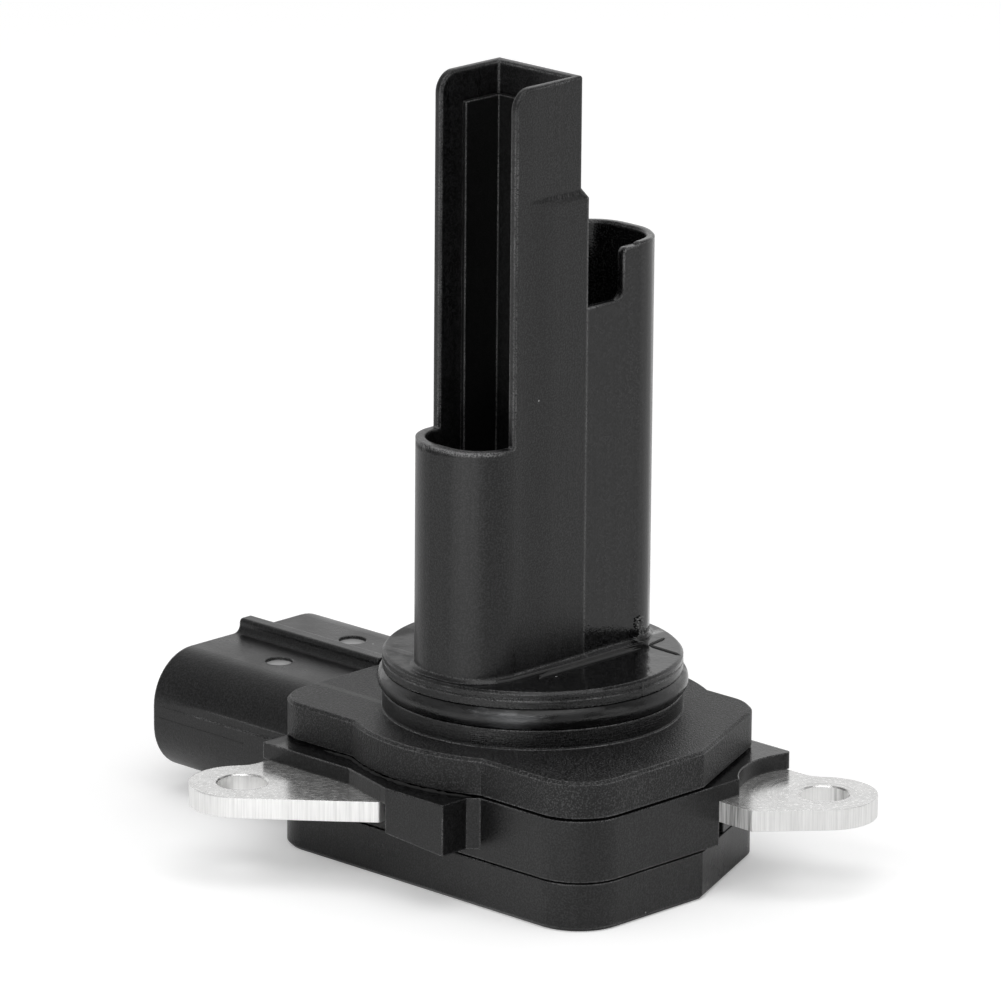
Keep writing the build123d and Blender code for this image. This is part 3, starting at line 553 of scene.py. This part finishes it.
def aluminium_finish(sizes, colours):
    """Rolled sheet: flat faces with scratches, and turning marks and a coined ring round one hole; cut
    edges with shear marks. The right ear's front facet and that hole's wall are painted light: less
    metallic, so they show pale."""
    material, tree, shader, place = new_finish("plate_aluminium")
    facing = add_node(tree, "ShaderNodeTexCoord").outputs["Normal"]
    upright = axes(tree, facing)["Z"]
    cut = ramp(tree, maths(tree, "ABSOLUTE", upright), 0.3, 0.6, 1.0, 0.0)
    shear = noise(tree, stretch(tree, place, (1.0, 1.0, 0.03)), sizes.shear_marks_per_metre, 4.0, 0.7)
    broad = noise(tree, stretch(tree, place, (1.0, 1.0, 0.02)), 900.0, 3.0, 0.6)
    pits = noise(tree, place, 3200.0, 3.0, 0.6)
    rolling_turn = math.radians(-41)
    rolled = noise(tree, stretch(tree, place, (0.4, 1.0, 1.0), rolling_turn), 3600.0, 4.0, 0.7)
    from_hole = vectors(tree, "SUBTRACT", place, tuple(sizes.swirled_hole))
    level = vectors(tree, "MULTIPLY", from_hole, (1, 1, 0))
    reach = vectors(tree, "LENGTH", level, output="Value")
    rings = turning_marks(tree, level, reach, upright)
    swirled = ramp(tree, reach, sizes.swirl_reach * 0.6, sizes.swirl_reach, 1.0, 0.0)
    lined = blend_values(tree, swirled, rolled, rings)
    coined = times(tree, ramp(tree, reach, sizes.coin_radius - 0.12 * MM, sizes.coin_radius), 0.9)
    flat_relief = plus(tree, times(tree, lined, 0.2), times(tree, pits, 0.1))
    flat_relief = plus(tree, flat_relief, coined)
    cut_relief = plus(tree, times(tree, shear, 0.3), times(tree, broad, 0.3))
    relief = blend_values(tree, cut, flat_relief, cut_relief)
    edges = use_group(tree, "soft_edges", {"Vector": place, "Radius": 0.14 * MM, "Breaks": 3600.0})

    dull = ramp(tree, noise(tree, place, 420.0, 4.0, 0.65), 0.3, 0.7, 0.74, 0.84)
    frontward = vectors(tree, "DOT_PRODUCT", facing, (0, -1, 0), "Value")
    beside = axes(tree, place)["X"]
    facet = times(tree, ramp(tree, frontward, 0.9, 0.97), ramp(tree, beside, 19 * MM, 20 * MM))
    darkest = plus(tree, times(tree, facet, -0.4), 0.92)
    scored = add_node(tree, "ShaderNodeMapRange", {
        "Value": shear, "From Min": 0.34, "From Max": 0.62, "To Min": darkest, "To Max": 1.08})
    tone = blend_values(tree, cut, dull, scored.outputs["Result"])
    # Painted highlight and wear on the plate's edges, and painted glints on the pits of its flat faces
    rubbed = times(tree, edges["Mask"], 0.25)
    glints = times(tree, ramp(tree, pits, 0.52, 0.7, 0.0, 0.3), minus(tree, 1.0, cut))
    bright = plus(tree, rubbed, glints)
    colour = tint(tree, colours.aluminium, plus(tree, tone, bright))

    flat_metal = ramp(tree, lined, 0.3, 0.7, 0.9, 0.76)
    metallic = blend_values(tree, cut, flat_metal, ramp(tree, broad, 0.35, 0.65, 0.9, 0.78))
    in_hole = ramp(tree, reach, sizes.hole_radius, sizes.hole_radius + 0.3 * MM, 1.0, 0.0)
    # Painted light: the front facet and the hole's wall lose most of their metal look, so they show pale
    lit_facet = times(tree, facet, ramp(tree, shear, 0.3, 0.65, 0.25, 0.95))
    painted_light = maths(tree, "MAXIMUM", lit_facet, times(tree, in_hole, cut))
    metallic = times(tree, metallic, minus(tree, 1.0, times(tree, painted_light, 0.78)))
    tree.links.new(metallic, shader.inputs["Metallic"])
    flat_roughness = ramp(tree, lined, 0.3, 0.7, 0.15, 0.3)
    cut_roughness = ramp(tree, shear, 0.3, 0.7, 0.5, 0.34)
    roughness = blend_values(tree, cut, flat_roughness, cut_roughness)
    finish_with(tree, shader, colour, roughness, relief, 0.022 * MM, edges["Normal"])
    return material


def rubber_finish(sizes, colours):
    """Black rubber with a film of assembly oil and dull smears, and one pale painted highlight smeared
    across its front.
    """
    material, tree, shader, place = new_finish("seal_rubber", ior=1.5)
    smear = noise(tree, stretch(tree, place, (1.0, 1.0, 3.5)), 190.0, 4.0, 0.6)
    skin = noise(tree, stretch(tree, place, (1.0, 1.0, 5.0)), 1500.0, 3.0, 0.55)
    from_ring_highlight = vectors(tree, "SUBTRACT", place, tuple(sizes.ring_highlight_place))
    flattened = vectors(tree, "MULTIPLY", from_ring_highlight, (1, 1, 2.6))
    away = vectors(tree, "LENGTH", flattened, output="Value")
    ragged = plus(tree, away, times(tree, minus(tree, smear, 0.5), 14 * MM))
    # Painted highlight: a pale smear where a lamp's reflection falls on the ring's front
    ring_highlight = ramp(tree, ragged, 1.0 * MM, 4.6 * MM, 0.9, 0.0)
    plain = tint(tree, colours.rubber, ramp(tree, smear, 0.4, 0.7, 0.7, 3.0))
    colour = blend_colours(tree, ring_highlight, plain, colours.ring_highlight)
    roughness = ramp(tree, smear, 0.4, 0.6, 0.12, 0.42)
    finish_with(tree, shader, colour, roughness, skin, 0.03 * MM)
    return material


def adhesive_finish(colours):
    """Cured black adhesive, wet looking and slightly wavy."""
    material, tree, shader, place = new_finish("adhesive", ior=1.3)
    wave = noise(tree, place, 900.0, 3.0, 0.6)
    colour = tint(tree, colours.adhesive, ramp(tree, wave, 0.3, 0.7, 0.8, 1.3))
    roughness = ramp(tree, wave, 0.3, 0.7, 0.07, 0.16)
    finish_with(tree, shader, colour, roughness, wave, 0.08 * MM)
    return material


def metal_finish(name, colour, roughness, scale):
    """Plated or bare small metal parts with fine scratches along their length."""
    material, tree, shader, place = new_finish(name, metallic=1.0)
    scratch = noise(tree, stretch(tree, place, (0.15, 1.0, 1.0)), scale, 4.0, 0.65)
    base = tint(tree, colour, ramp(tree, scratch, 0.3, 0.7, 0.9, 1.06))
    sheen = ramp(tree, scratch, 0.3, 0.7, roughness - 0.06, roughness + 0.08)
    finish_with(tree, shader, base, sheen, scratch, 0.008 * MM)
    return material


def resin_finish(name, colour, roughness, scale, depth):
    """Resin, ceramic and lacquer of the small electronic parts, and the torn flash."""
    material, tree, shader, place = new_finish(name)
    grit = noise(tree, place, scale, 3.0, 0.6)
    base = tint(tree, colour, ramp(tree, grit, 0.3, 0.7, 0.9, 1.1))
    sheen = ramp(tree, grit, 0.3, 0.7, roughness - 0.05, roughness + 0.05)
    finish_with(tree, shader, base, sheen, grit, depth)
    return material


def board_finish(colours):
    """Green lacquer over copper tracks."""
    material, tree, shader, place = new_finish("board")
    black = (0, 0, 0, 1)
    tracks = add_node(tree, "ShaderNodeTexBrick", {
        "Vector": place, "Scale": 420.0, "Mortar Size": 0.04,
        "Color1": black, "Color2": black, "Mortar": (1, 1, 1, 1)})
    raised = tracks.outputs["Fac"]
    base = tint(tree, colours.lacquer, plus(tree, times(tree, raised, 0.7), 1.0))
    sheen = ramp(tree, noise(tree, place, 900.0), 0.3, 0.7, 0.22, 0.32)
    finish_with(tree, shader, base, sheen, raised, 0.03 * MM)
    return material


def step_matrix(start, end, width, height, level, outward):
    """Place and size of one section of a bead that runs from start towards end."""
    along = (end - start).normalized()
    side = along.cross(Vector(outward)).normalized()
    up = side.cross(along)
    turn = Matrix((side, up, along)).transposed().to_4x4()
    return Matrix.Translation(level) @ turn @ Matrix.Diagonal((width / 2, height, 1, 1))


def bead_mesh(bm, path, width, height, sides, swell, outward=(0, 0, 1)):
    """A closed bead along a path, drawn out section by section from a round start."""
    sections = []
    for number, point in enumerate(path):
        before = path[max(number - 1, 0)]
        after = path[min(number + 1, len(path) - 1)]
        size = swell(number / (len(path) - 1))
        sections.append(step_matrix(before, after, width * size, height * size, point, outward))
    started = bmesh.ops.create_circle(bm, cap_ends=True, segments=sides, radius=1.0, matrix=sections[0])
    face = started["verts"][0].link_faces[0]
    for old, new in zip(sections, sections[1:]):
        grown = bmesh.ops.extrude_face_region(bm, geom=[face])["geom"]
        face = [part for part in grown if isinstance(part, bmesh.types.BMFace)][0]
        bmesh.ops.transform(bm, matrix=new @ old.inverted(), verts=face.verts)


def add_grain(bm, matrix):
    """One small faceted grain, shaped and placed by a matrix."""
    bmesh.ops.create_icosphere(bm, subdivisions=1, radius=1.0, matrix=matrix)


def finish_piece(bm, name, material, smooth=True):
    """The mesh of a new piece as an object that rides on the sensor."""
    bmesh.ops.recalc_face_normals(bm, faces=bm.faces)
    mesh = bpy.data.meshes.new(name)
    bm.to_mesh(mesh)
    bm.free()
    for face in mesh.polygons:
        face.use_smooth = smooth
    mesh.materials.append(bpy.data.materials[material])
    piece = bpy.data.objects.new(name, mesh)
    bpy.context.scene.collection.objects.link(piece)
    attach(piece, "root")
    return piece


def taper(share, ends=0.12):
    """Thin at both ends of a bead, full between them."""
    thin = 0.15
    nearest = min(share, 1 - share) / ends
    return thin + (1 - thin) * min(1.0, nearest)


def probe_side_path(sizes, near_gap, far_gap, start, end, steps):
    """Points beside the probe's root: round its front corner, then drifting away along its side."""
    drift = 2.5
    centre_x = sizes.probe_half_width - sizes.probe_corner
    centre_y = sizes.probe_corner - sizes.probe_half_length
    points = []
    for step in range(steps):
        turn = start * (1 - step / steps)
        reach = sizes.probe_corner + near_gap
        points.append(Vector((
            centre_x + reach * math.cos(turn), centre_y + reach * math.sin(turn), sizes.spigot_top)))
    for step in range(steps + 1):
        share = step / steps
        gap = near_gap + (far_gap - near_gap) * min(1.0, drift * share)
        points.append(Vector((
            sizes.probe_half_width + gap, centre_y + (end - centre_y) * share, sizes.spigot_top)))
    return points


def straight_path(start, end, steps):
    """Evenly spaced points from start to end."""
    start = Vector(start)
    end = Vector(end)
    return [start.lerp(end, step / steps) for step in range(steps + 1)]


def direction(azimuth, elevation=0.0):
    """The way out from the sensor, turned by the azimuth from +X towards -Y and raised by the elevation."""
    flat = math.cos(elevation)
    return Vector((flat * math.cos(azimuth), -flat * math.sin(azimuth), math.sin(elevation)))


class SENSOR_OT_plastics(bpy.types.Operator):
    """Finish the moulded pieces: housing, case, cover, channel liner and element holder"""

    bl_idname = "sensor.plastics"
    bl_label = "Moulded plastics"

    def execute(self, context):
        sizes = context.scene.sensor_sizes
        colours = context.scene.sensor_colours
        coat_nodes(housing_finish(sizes, colours), "sensor_housing")
        # Name, colour, roughness, depth of the grain, share of the draw marks, node, the node's own marks
        satins = [
            ("case_plastic", colours.case, 0.31, 0.03 * MM, 0.4, "connector_case", case_marks),
            ("cover_plastic", colours.cover, 0.3, 0.03 * MM, 0.5, "bottom_cover", None),
            ("liner_plastic", colours.liner, 0.36, 0.01 * MM, 0.5, "channel_liner", None),
            ("holder_plastic", colours.liner, 0.42, 0.012 * MM, 0.2, "element_holder", None),
        ]
        for name, colour, roughness, depth, streaks, node, own_marks in satins:
            satin = satin_finish(name, colour, colours, sizes, roughness, depth, streaks, own_marks)
            coat_nodes(satin, node)
        return {"FINISHED"}


class SENSOR_OT_plate(bpy.types.Operator):
    """Finish the aluminium mounting plate and its cut edges"""

    bl_idname = "sensor.plate"
    bl_label = "Mounting plate"

    def execute(self, context):
        aluminium = aluminium_finish(context.scene.sensor_sizes, context.scene.sensor_colours)
        coat_nodes(aluminium, "mounting_plate")
        return {"FINISHED"}


class SENSOR_OT_seals(bpy.types.Operator):
    """Finish the seal ring and the two bonded seams, and lay the adhesive that was squeezed out"""

    bl_idname = "sensor.seals"
    bl_label = "Seals"

    def execute(self, context):
        colours = context.scene.sensor_colours
        coat_nodes(rubber_finish(context.scene.sensor_sizes, colours), "seal_ring")
        coat_nodes(adhesive_finish(colours), "upper_seal", "lower_seal")
        self.lay_squeezed_adhesive(context.scene.sensor_sizes)
        return {"FINISHED"}

    def lay_squeezed_adhesive(self, sizes):
        """An uneven bead along the flange's left side, on top of the case."""
        chance = random.Random(5)
        start = -12.2 * MM
        end = 7.6 * MM
        steps = 44
        width = 0.5 * MM
        height = 0.15 * MM
        path = []
        for step in range(steps + 1):
            x = start + (end - start) * step / steps
            bulge = math.sqrt(sizes.bulge_radius ** 2 - x ** 2)
            y = -max(sizes.base_half_width, bulge) - chance.uniform(-0.02, 0.1) * MM
            path.append(Vector((x, y, case_top + 0.05 * MM)))
        swells = [chance.uniform(0.45, 1.3) for step in range(steps + 1)]
        bm = bmesh.new()
        bead_mesh(
            bm, path, width, height, sizes.bead_sides,
            lambda share: swells[round(share * steps)] * taper(share, 0.08))
        finish_piece(bm, "squeezed_adhesive", "adhesive")


class SENSOR_OT_electronics(bpy.types.Operator):
    """Finish the terminals, the circuit and the sensing elements"""

    bl_idname = "sensor.electronics"
    bl_label = "Electronics"

    def execute(self, context):
        colours = context.scene.sensor_colours
        terminals, leads, capacitors = (
            [name for name in frame["nodes"] if name.startswith(start)]
            for start in ("terminal_", "element_lead_", "capacitor_"))
        coat_nodes(metal_finish("terminal_metal", colours.tin, 0.28, 4200.0), *terminals)
        coat_nodes(metal_finish("lead_metal", colours.tin, 0.34, 5200.0), *leads)
        coat_nodes(metal_finish("ribbon_aluminium", colours.aluminium, 0.25, 5200.0), "bond_ribbons")
        # Name, colour, roughness, scale and depth of the grit, nodes
        resins = [
            ("film_ceramic", colours.ceramic, 0.3, 2600.0, 0.006 * MM,
             ("heated_element", "reference_element")),
            ("bead_resin", colours.case, 0.2, 1500.0, 0.02 * MM, ("air_thermistor",)),
            ("chip_resin", colours.case, 0.5, 3600.0, 0.02 * MM, ("control_chip", "power_transistor")),
            ("capacitor_ceramic", colours.capacitor, 0.42, 3000.0, 0.01 * MM, capacitors),
        ]
        for name, colour, roughness, scale, depth, nodes in resins:
            coat_nodes(resin_finish(name, colour, roughness, scale, depth), *nodes)
        coat_nodes(board_finish(colours), "circuit_board")
        return {"FINISHED"}


class SENSOR_OT_root_flash(bpy.types.Operator):
    """Raise the moulding flash at the root of the probe: a ridge, a flap, a forked end and crumbs"""

    bl_idname = "sensor.root_flash"
    bl_label = "Root flash"

    def execute(self, context):
        sizes = context.scene.sensor_sizes
        self.raise_ridge(sizes)
        self.raise_flap(sizes)
        self.raise_fork(sizes)
        self.drop_crumbs(sizes)
        return {"FINISHED"}

    def raise_ridge(self, sizes):
        """A thin ridge that leaves the probe's front corner and runs along its side."""
        bm = bmesh.new()
        path = probe_side_path(sizes, 0.2 * MM, 0.6 * MM, math.radians(-28), 8.0 * MM, 12)
        bead_mesh(bm, path, sizes.flash_width, sizes.flash_height, sizes.bead_sides, taper)
        finish_piece(bm, "flash_ridge", "housing_plastic")

    def raise_flap(self, sizes):
        """A thin flap of flash outside the ridge, with a raised lip that starts in a curl."""
        start = -6.0 * MM
        end = 7.2 * MM
        disc = sizes.spigot_top
        outer = sizes.probe_half_width + FLAP_REACH
        middle = outer - 0.42 * MM
        bm = bmesh.new()
        sheet = straight_path((middle, start, disc), (middle, end, disc), 16)
        bead_mesh(bm, sheet, 0.85 * MM, 0.07 * MM, sizes.bead_sides, taper)
        lip = [
            Vector((outer + 0.35 * MM, start - 0.75 * MM, disc)),
            Vector((outer + 0.18 * MM, start - 0.6 * MM, disc)),
        ]
        lip += straight_path((outer, start, disc), (outer + 0.2 * MM, end, disc), 16)
        bead_mesh(bm, lip, 0.2 * MM, 0.2 * MM, sizes.bead_sides, taper)
        finish_piece(bm, "flash_flap", "housing_plastic")

    def raise_fork(self, sizes):
        """Two short ridges on the disc, spreading from the rear end of the flash."""
        root = (sizes.probe_half_width + FLAP_REACH, 8.5 * MM, sizes.spigot_top)
        bm = bmesh.new()
        for tip in ((6.5 * MM, 11.3 * MM), (11.3 * MM, 8.3 * MM)):
            path = straight_path(root, (*tip, sizes.spigot_top), 8)
            bead_mesh(bm, path, 0.26 * MM, 0.14 * MM, sizes.bead_sides, taper)
        finish_piece(bm, "flash_fork", "housing_plastic")

    def drop_crumbs(self, sizes):
        """Torn flash that clings to the corner of the rear tube."""
        chance = random.Random(11)
        bm = bmesh.new()
        self.pile_crumbs(bm, sizes, chance, 46)
        self.fan_blades(bm, sizes, chance, 30)
        resin_finish("torn_flash", bpy.context.scene.sensor_colours.torn, 0.5, 3000.0, 0.01 * MM)
        finish_piece(bm, "flash_crumbs", "torn_flash", smooth=False)

    def pile_crumbs(self, bm, sizes, chance, count):
        """Crumbs up the corner, nearer to the tube the higher they are."""
        for number in range(count):
            rise = chance.random()
            place = Vector((
                sizes.probe_half_width + (0.45 - 0.4 * rise) * MM * chance.random(),
                (8.3 + 0.9 * chance.random()) * MM,
                sizes.spigot_top + (0.6 + 1.9 * rise) * MM))
            size = chance.uniform(0.06, 0.15) * MM
            turn = Matrix.Rotation(chance.uniform(0, math.tau), 4, "Z")
            shape = (size, size * chance.uniform(0.5, 1.0), size * chance.uniform(0.5, 1.3), 1)
            add_grain(bm, Matrix.Translation(place) @ turn @ Matrix.Diagonal(shape))

    def fan_blades(self, bm, sizes, chance, count):
        """Thin blades that spread from one root below the crumbs."""
        root = Vector((sizes.probe_half_width + 0.5 * MM, 8.7 * MM, sizes.spigot_top + 0.15 * MM))
        towards_camera = (0.72, -0.69, 0.0)
        across_view = (0.69, 0.72, 0.0)
        thickness = 0.06 * MM
        for number in range(count):
            lean = Matrix.Rotation(chance.uniform(-1.4, 1.4), 4, towards_camera)
            tip = Matrix.Rotation(chance.uniform(-0.2, 0.9), 4, across_view)
            length = chance.uniform(0.3, 0.55) * MM
            shape = Matrix.Diagonal((thickness, thickness, length, 1))
            shape = Matrix.Translation((0, 0, length * 1.1)) @ shape
            add_grain(bm, Matrix.Translation(root) @ lean @ tip @ shape)


class SENSOR_OT_parting_lines(bpy.types.Operator):
    """Raise the mould's parting lines on the spigot and the shroud"""

    bl_idname = "sensor.parting_lines"
    bl_label = "Parting lines"

    def execute(self, context):
        sizes = context.scene.sensor_sizes
        self.raise_spigot_line(sizes)
        self.raise_shroud_line(sizes)
        return {"FINISHED"}

    def raise_spigot_line(self, sizes):
        """A short upright line on the right of the spigot's disc."""
        edge = sizes.spigot_radius
        start = (edge, 0, sizes.disc_base + 0.1 * MM)
        path = straight_path(start, (edge, 0, sizes.spigot_top - 0.15 * MM), 6)
        bm = bmesh.new()
        bead_mesh(bm, path, sizes.line_width, LINE_HEIGHT, sizes.bead_sides, taper, (1, 0, 0))
        finish_piece(bm, "spigot_parting_line", "housing_plastic")

    def raise_shroud_line(self, sizes):
        """A slightly uneven line along the shroud's front side."""
        chance = random.Random(3)
        side = -sizes.shroud_half_width
        level = 7.5 * MM
        steps = 24
        swells = [chance.uniform(0.75, 1.0) for step in range(steps + 1)]
        start = (shroud_mouth + 0.5 * MM, side, level)
        path = straight_path(start, (shroud_mouth + 12.3 * MM, side, level), steps)
        bm = bmesh.new()
        bead_mesh(
            bm, path, sizes.line_width, LINE_HEIGHT, sizes.bead_sides,
            lambda share: swells[round(share * steps)], (0, -1, 0))
        finish_piece(bm, "shroud_parting_line", "case_plastic")


class SENSOR_OT_stage(bpy.types.Operator):
    """Lay the floor, set the lights and place the camera"""

    bl_idname = "sensor.stage"
    bl_label = "Stage"

    def execute(self, context):
        self.lay_floor(context)
        self.light_world(context)
        self.set_lamps(context)
        self.place_camera(context)
        context.scene.view_settings.view_transform = "Standard"
        return {"FINISHED"}

    def lay_floor(self, context):
        """A wide white floor that keeps the sensor's soft shadow."""
        radius = 2.5
        gap = 0.02 * MM
        bm = bmesh.new()
        bmesh.ops.create_circle(bm, cap_ends=True, segments=96, radius=radius)
        bmesh.ops.translate(bm, vec=(0, 0, -gap), verts=bm.verts)
        mesh = bpy.data.meshes.new("floor")
        bm.to_mesh(mesh)
        bm.free()
        mesh.materials.append(self.floor_finish(context.scene.sensor_colours.floor))
        floor = bpy.data.objects.new("floor", mesh)
        context.scene.collection.objects.link(floor)

    def floor_finish(self, colour):
        """White paint, lifted to plain white for the camera. Gloss sees a bright pool of it on one side of
        the sensor, away from its foot, and a faint wide one on another."""
        material = bpy.data.materials.new("floor_white")
        material.use_nodes = True
        tree = material.node_tree
        tree.nodes.clear()
        paint = add_node(tree, "ShaderNodeBsdfDiffuse", {"Color": (*colour, 1.0)})
        path = add_node(tree, "ShaderNodeLightPath")
        seen = maths(tree, "MAXIMUM", path.outputs["Is Camera Ray"], path.outputs["Is Transmission Ray"])
        place = add_node(tree, "ShaderNodeTexCoord").outputs["Object"]
        outward = vectors(tree, "NORMALIZE", place)
        reach = vectors(tree, "LENGTH", place, output="Value")
        pool = self.sector(tree, outward, 72.0, 0.78, 0.99, 1.0)
        pool = times(tree, pool, ramp(tree, reach, 50 * MM, 120 * MM, 0.12, 1.0))
        glow = plus(tree, pool, self.sector(tree, outward, 134.0, -0.6, 0.6, 0.08))
        gloss = times(tree, path.outputs["Is Glossy Ray"], glow)
        lift_for_camera = 0.25
        strength = plus(tree, times(tree, seen, lift_for_camera), gloss)
        lift = add_node(tree, "ShaderNodeEmission", {"Color": WHITE, "Strength": strength})
        both = add_node(tree, "ShaderNodeAddShader", {0: paint.outputs[0], 1: lift.outputs[0]})
        end = add_node(tree, "ShaderNodeOutputMaterial")
        tree.links.new(both.outputs[0], end.inputs["Surface"])
        return material

    def sector(self, tree, outward, azimuth, low, high, strength):
        """A value that grows towards one azimuth round the sensor, given in degrees from +X towards -Y."""
        facing = vectors(tree, "DOT_PRODUCT", outward, direction(math.radians(azimuth)), "Value")
        return ramp(tree, facing, low, high, 0.0, strength)

    def light_world(self, context):
        """Even white light. Gloss sees a white wall low behind the sensor and a dim room elsewhere."""
        room_glow = 0.3
        wall_glow = 0.66
        light_on_matt = 0.62
        world = bpy.data.worlds.new("studio")
        context.scene.world = world
        world.use_nodes = True
        tree = world.node_tree
        path = add_node(tree, "ShaderNodeLightPath")
        seen = maths(tree, "MAXIMUM", path.outputs["Is Camera Ray"], path.outputs["Is Transmission Ray"])
        outward = add_node(tree, "ShaderNodeTexCoord").outputs["Generated"]
        behind = -direction(context.scene.sensor_view.azimuth)
        facing = vectors(tree, "DOT_PRODUCT", outward, behind, "Value")
        rise = axes(tree, outward)["Z"]
        wall = times(tree, ramp(tree, facing, 0.0, 0.7), ramp(tree, rise, 0.3, 0.75, 1.0, 0.25))
        room = plus(tree, times(tree, wall, wall_glow), room_glow)
        glossy = times(tree, path.outputs["Is Glossy Ray"], room)
        plain = times(tree, minus(tree, 1.0, path.outputs["Is Glossy Ray"]), light_on_matt)
        even = maths(tree, "MAXIMUM", seen, plus(tree, glossy, plain))
        tree.links.new(even, tree.nodes["Background"].inputs["Strength"])
        tree.nodes["Background"].inputs["Color"].default_value = WHITE

    def set_lamps(self, context):
        """A broad overhead softbox, a wide one at the left front and a weak one at the right."""
        target = Vector(context.scene.sensor_view.target)
        # Name, azimuth and elevation in degrees, distance, width and height in metres, power in watts
        lamps = [
            ("overhead", 20.0, 72.0, 1.2, 0.9, 0.9, 4.2),
            ("left_front", 67.0, 42.0, 1.0, 0.8, 0.25, 1.7),
            ("right_side", -20.0, 22.0, 1.1, 0.45, 0.7, 0.6),
        ]
        for name, azimuth, elevation, distance, width, height, power in lamps:
            back = direction(math.radians(azimuth), math.radians(elevation))
            light = bpy.data.lights.new(name, "AREA")
            light.shape = "RECTANGLE"
            light.size = width
            light.size_y = height
            light.energy = power
            lamp = bpy.data.objects.new(name, light)
            context.scene.collection.objects.link(lamp)
            lamp.location = target + back * distance
            lamp.rotation_mode = "QUATERNION"
            lamp.rotation_quaternion = (-back).to_track_quat("-Z", "Y")

    def place_camera(self, context):
        """The camera at the photo's angle, framed on the sensor."""
        view = context.scene.sensor_view
        back = direction(view.azimuth, view.elevation)
        right = Vector((math.sin(view.azimuth), math.cos(view.azimuth), 0))
        up = back.cross(right)
        rolled_right = math.cos(view.roll) * right + math.sin(view.roll) * up
        rolled_up = back.cross(rolled_right)
        lens = bpy.data.cameras.new("photo_camera")
        lens.sensor_width = 36.0
        lens.lens = view.lens
        lens.clip_start = 0.05
        lens.clip_end = 20.0
        camera = bpy.data.objects.new("photo_camera", lens)
        context.scene.collection.objects.link(camera)
        turn = Matrix((rolled_right, rolled_up, back)).transposed().to_4x4()
        camera.matrix_world = Matrix.Translation(Vector(view.target) + back * view.distance) @ turn
        context.scene.camera = camera


class SENSOR_PT_panel(bpy.types.Panel):
    """Sidebar panel with the sensor's operators and settings"""

    bl_label = "Mass airflow sensor"
    bl_idname = "SENSOR_PT_panel"
    bl_space_type = "VIEW_3D"
    bl_region_type = "UI"
    bl_category = "Sensor"

    def draw(self, context):
        for operator in OPERATORS:
            self.layout.operator(operator.bl_idname)
        scene = context.scene
        for settings in (scene.sensor_sizes, scene.sensor_colours, scene.sensor_view):
            box = self.layout.box()
            for name in settings.__annotations__:
                box.prop(settings, name)


SETTINGS = (SensorSizes, SensorColours, SensorView)
OPERATORS = (
    SENSOR_OT_plastics,
    SENSOR_OT_plate,
    SENSOR_OT_seals,
    SENSOR_OT_electronics,
    SENSOR_OT_root_flash,
    SENSOR_OT_parting_lines,
    SENSOR_OT_stage,
)


def register():
    for made in (*SETTINGS, *OPERATORS, SENSOR_PT_panel):
        bpy.utils.register_class(made)
    bpy.types.Scene.sensor_sizes = PointerProperty(type=SensorSizes)
    bpy.types.Scene.sensor_colours = PointerProperty(type=SensorColours)
    bpy.types.Scene.sensor_view = PointerProperty(type=SensorView)


def unregister():
    del bpy.types.Scene.sensor_view
    del bpy.types.Scene.sensor_colours
    del bpy.types.Scene.sensor_sizes
    for made in reversed((*SETTINGS, *OPERATORS, SENSOR_PT_panel)):
        bpy.utils.unregister_class(made)


def main():
    register()
    bpy.ops.sensor.plastics()
    bpy.ops.sensor.plate()
    bpy.ops.sensor.seals()
    bpy.ops.sensor.electronics()
    bpy.ops.sensor.root_flash()
    bpy.ops.sensor.parting_lines()
    bpy.ops.sensor.stage()


if __name__ == "__main__":
    main()
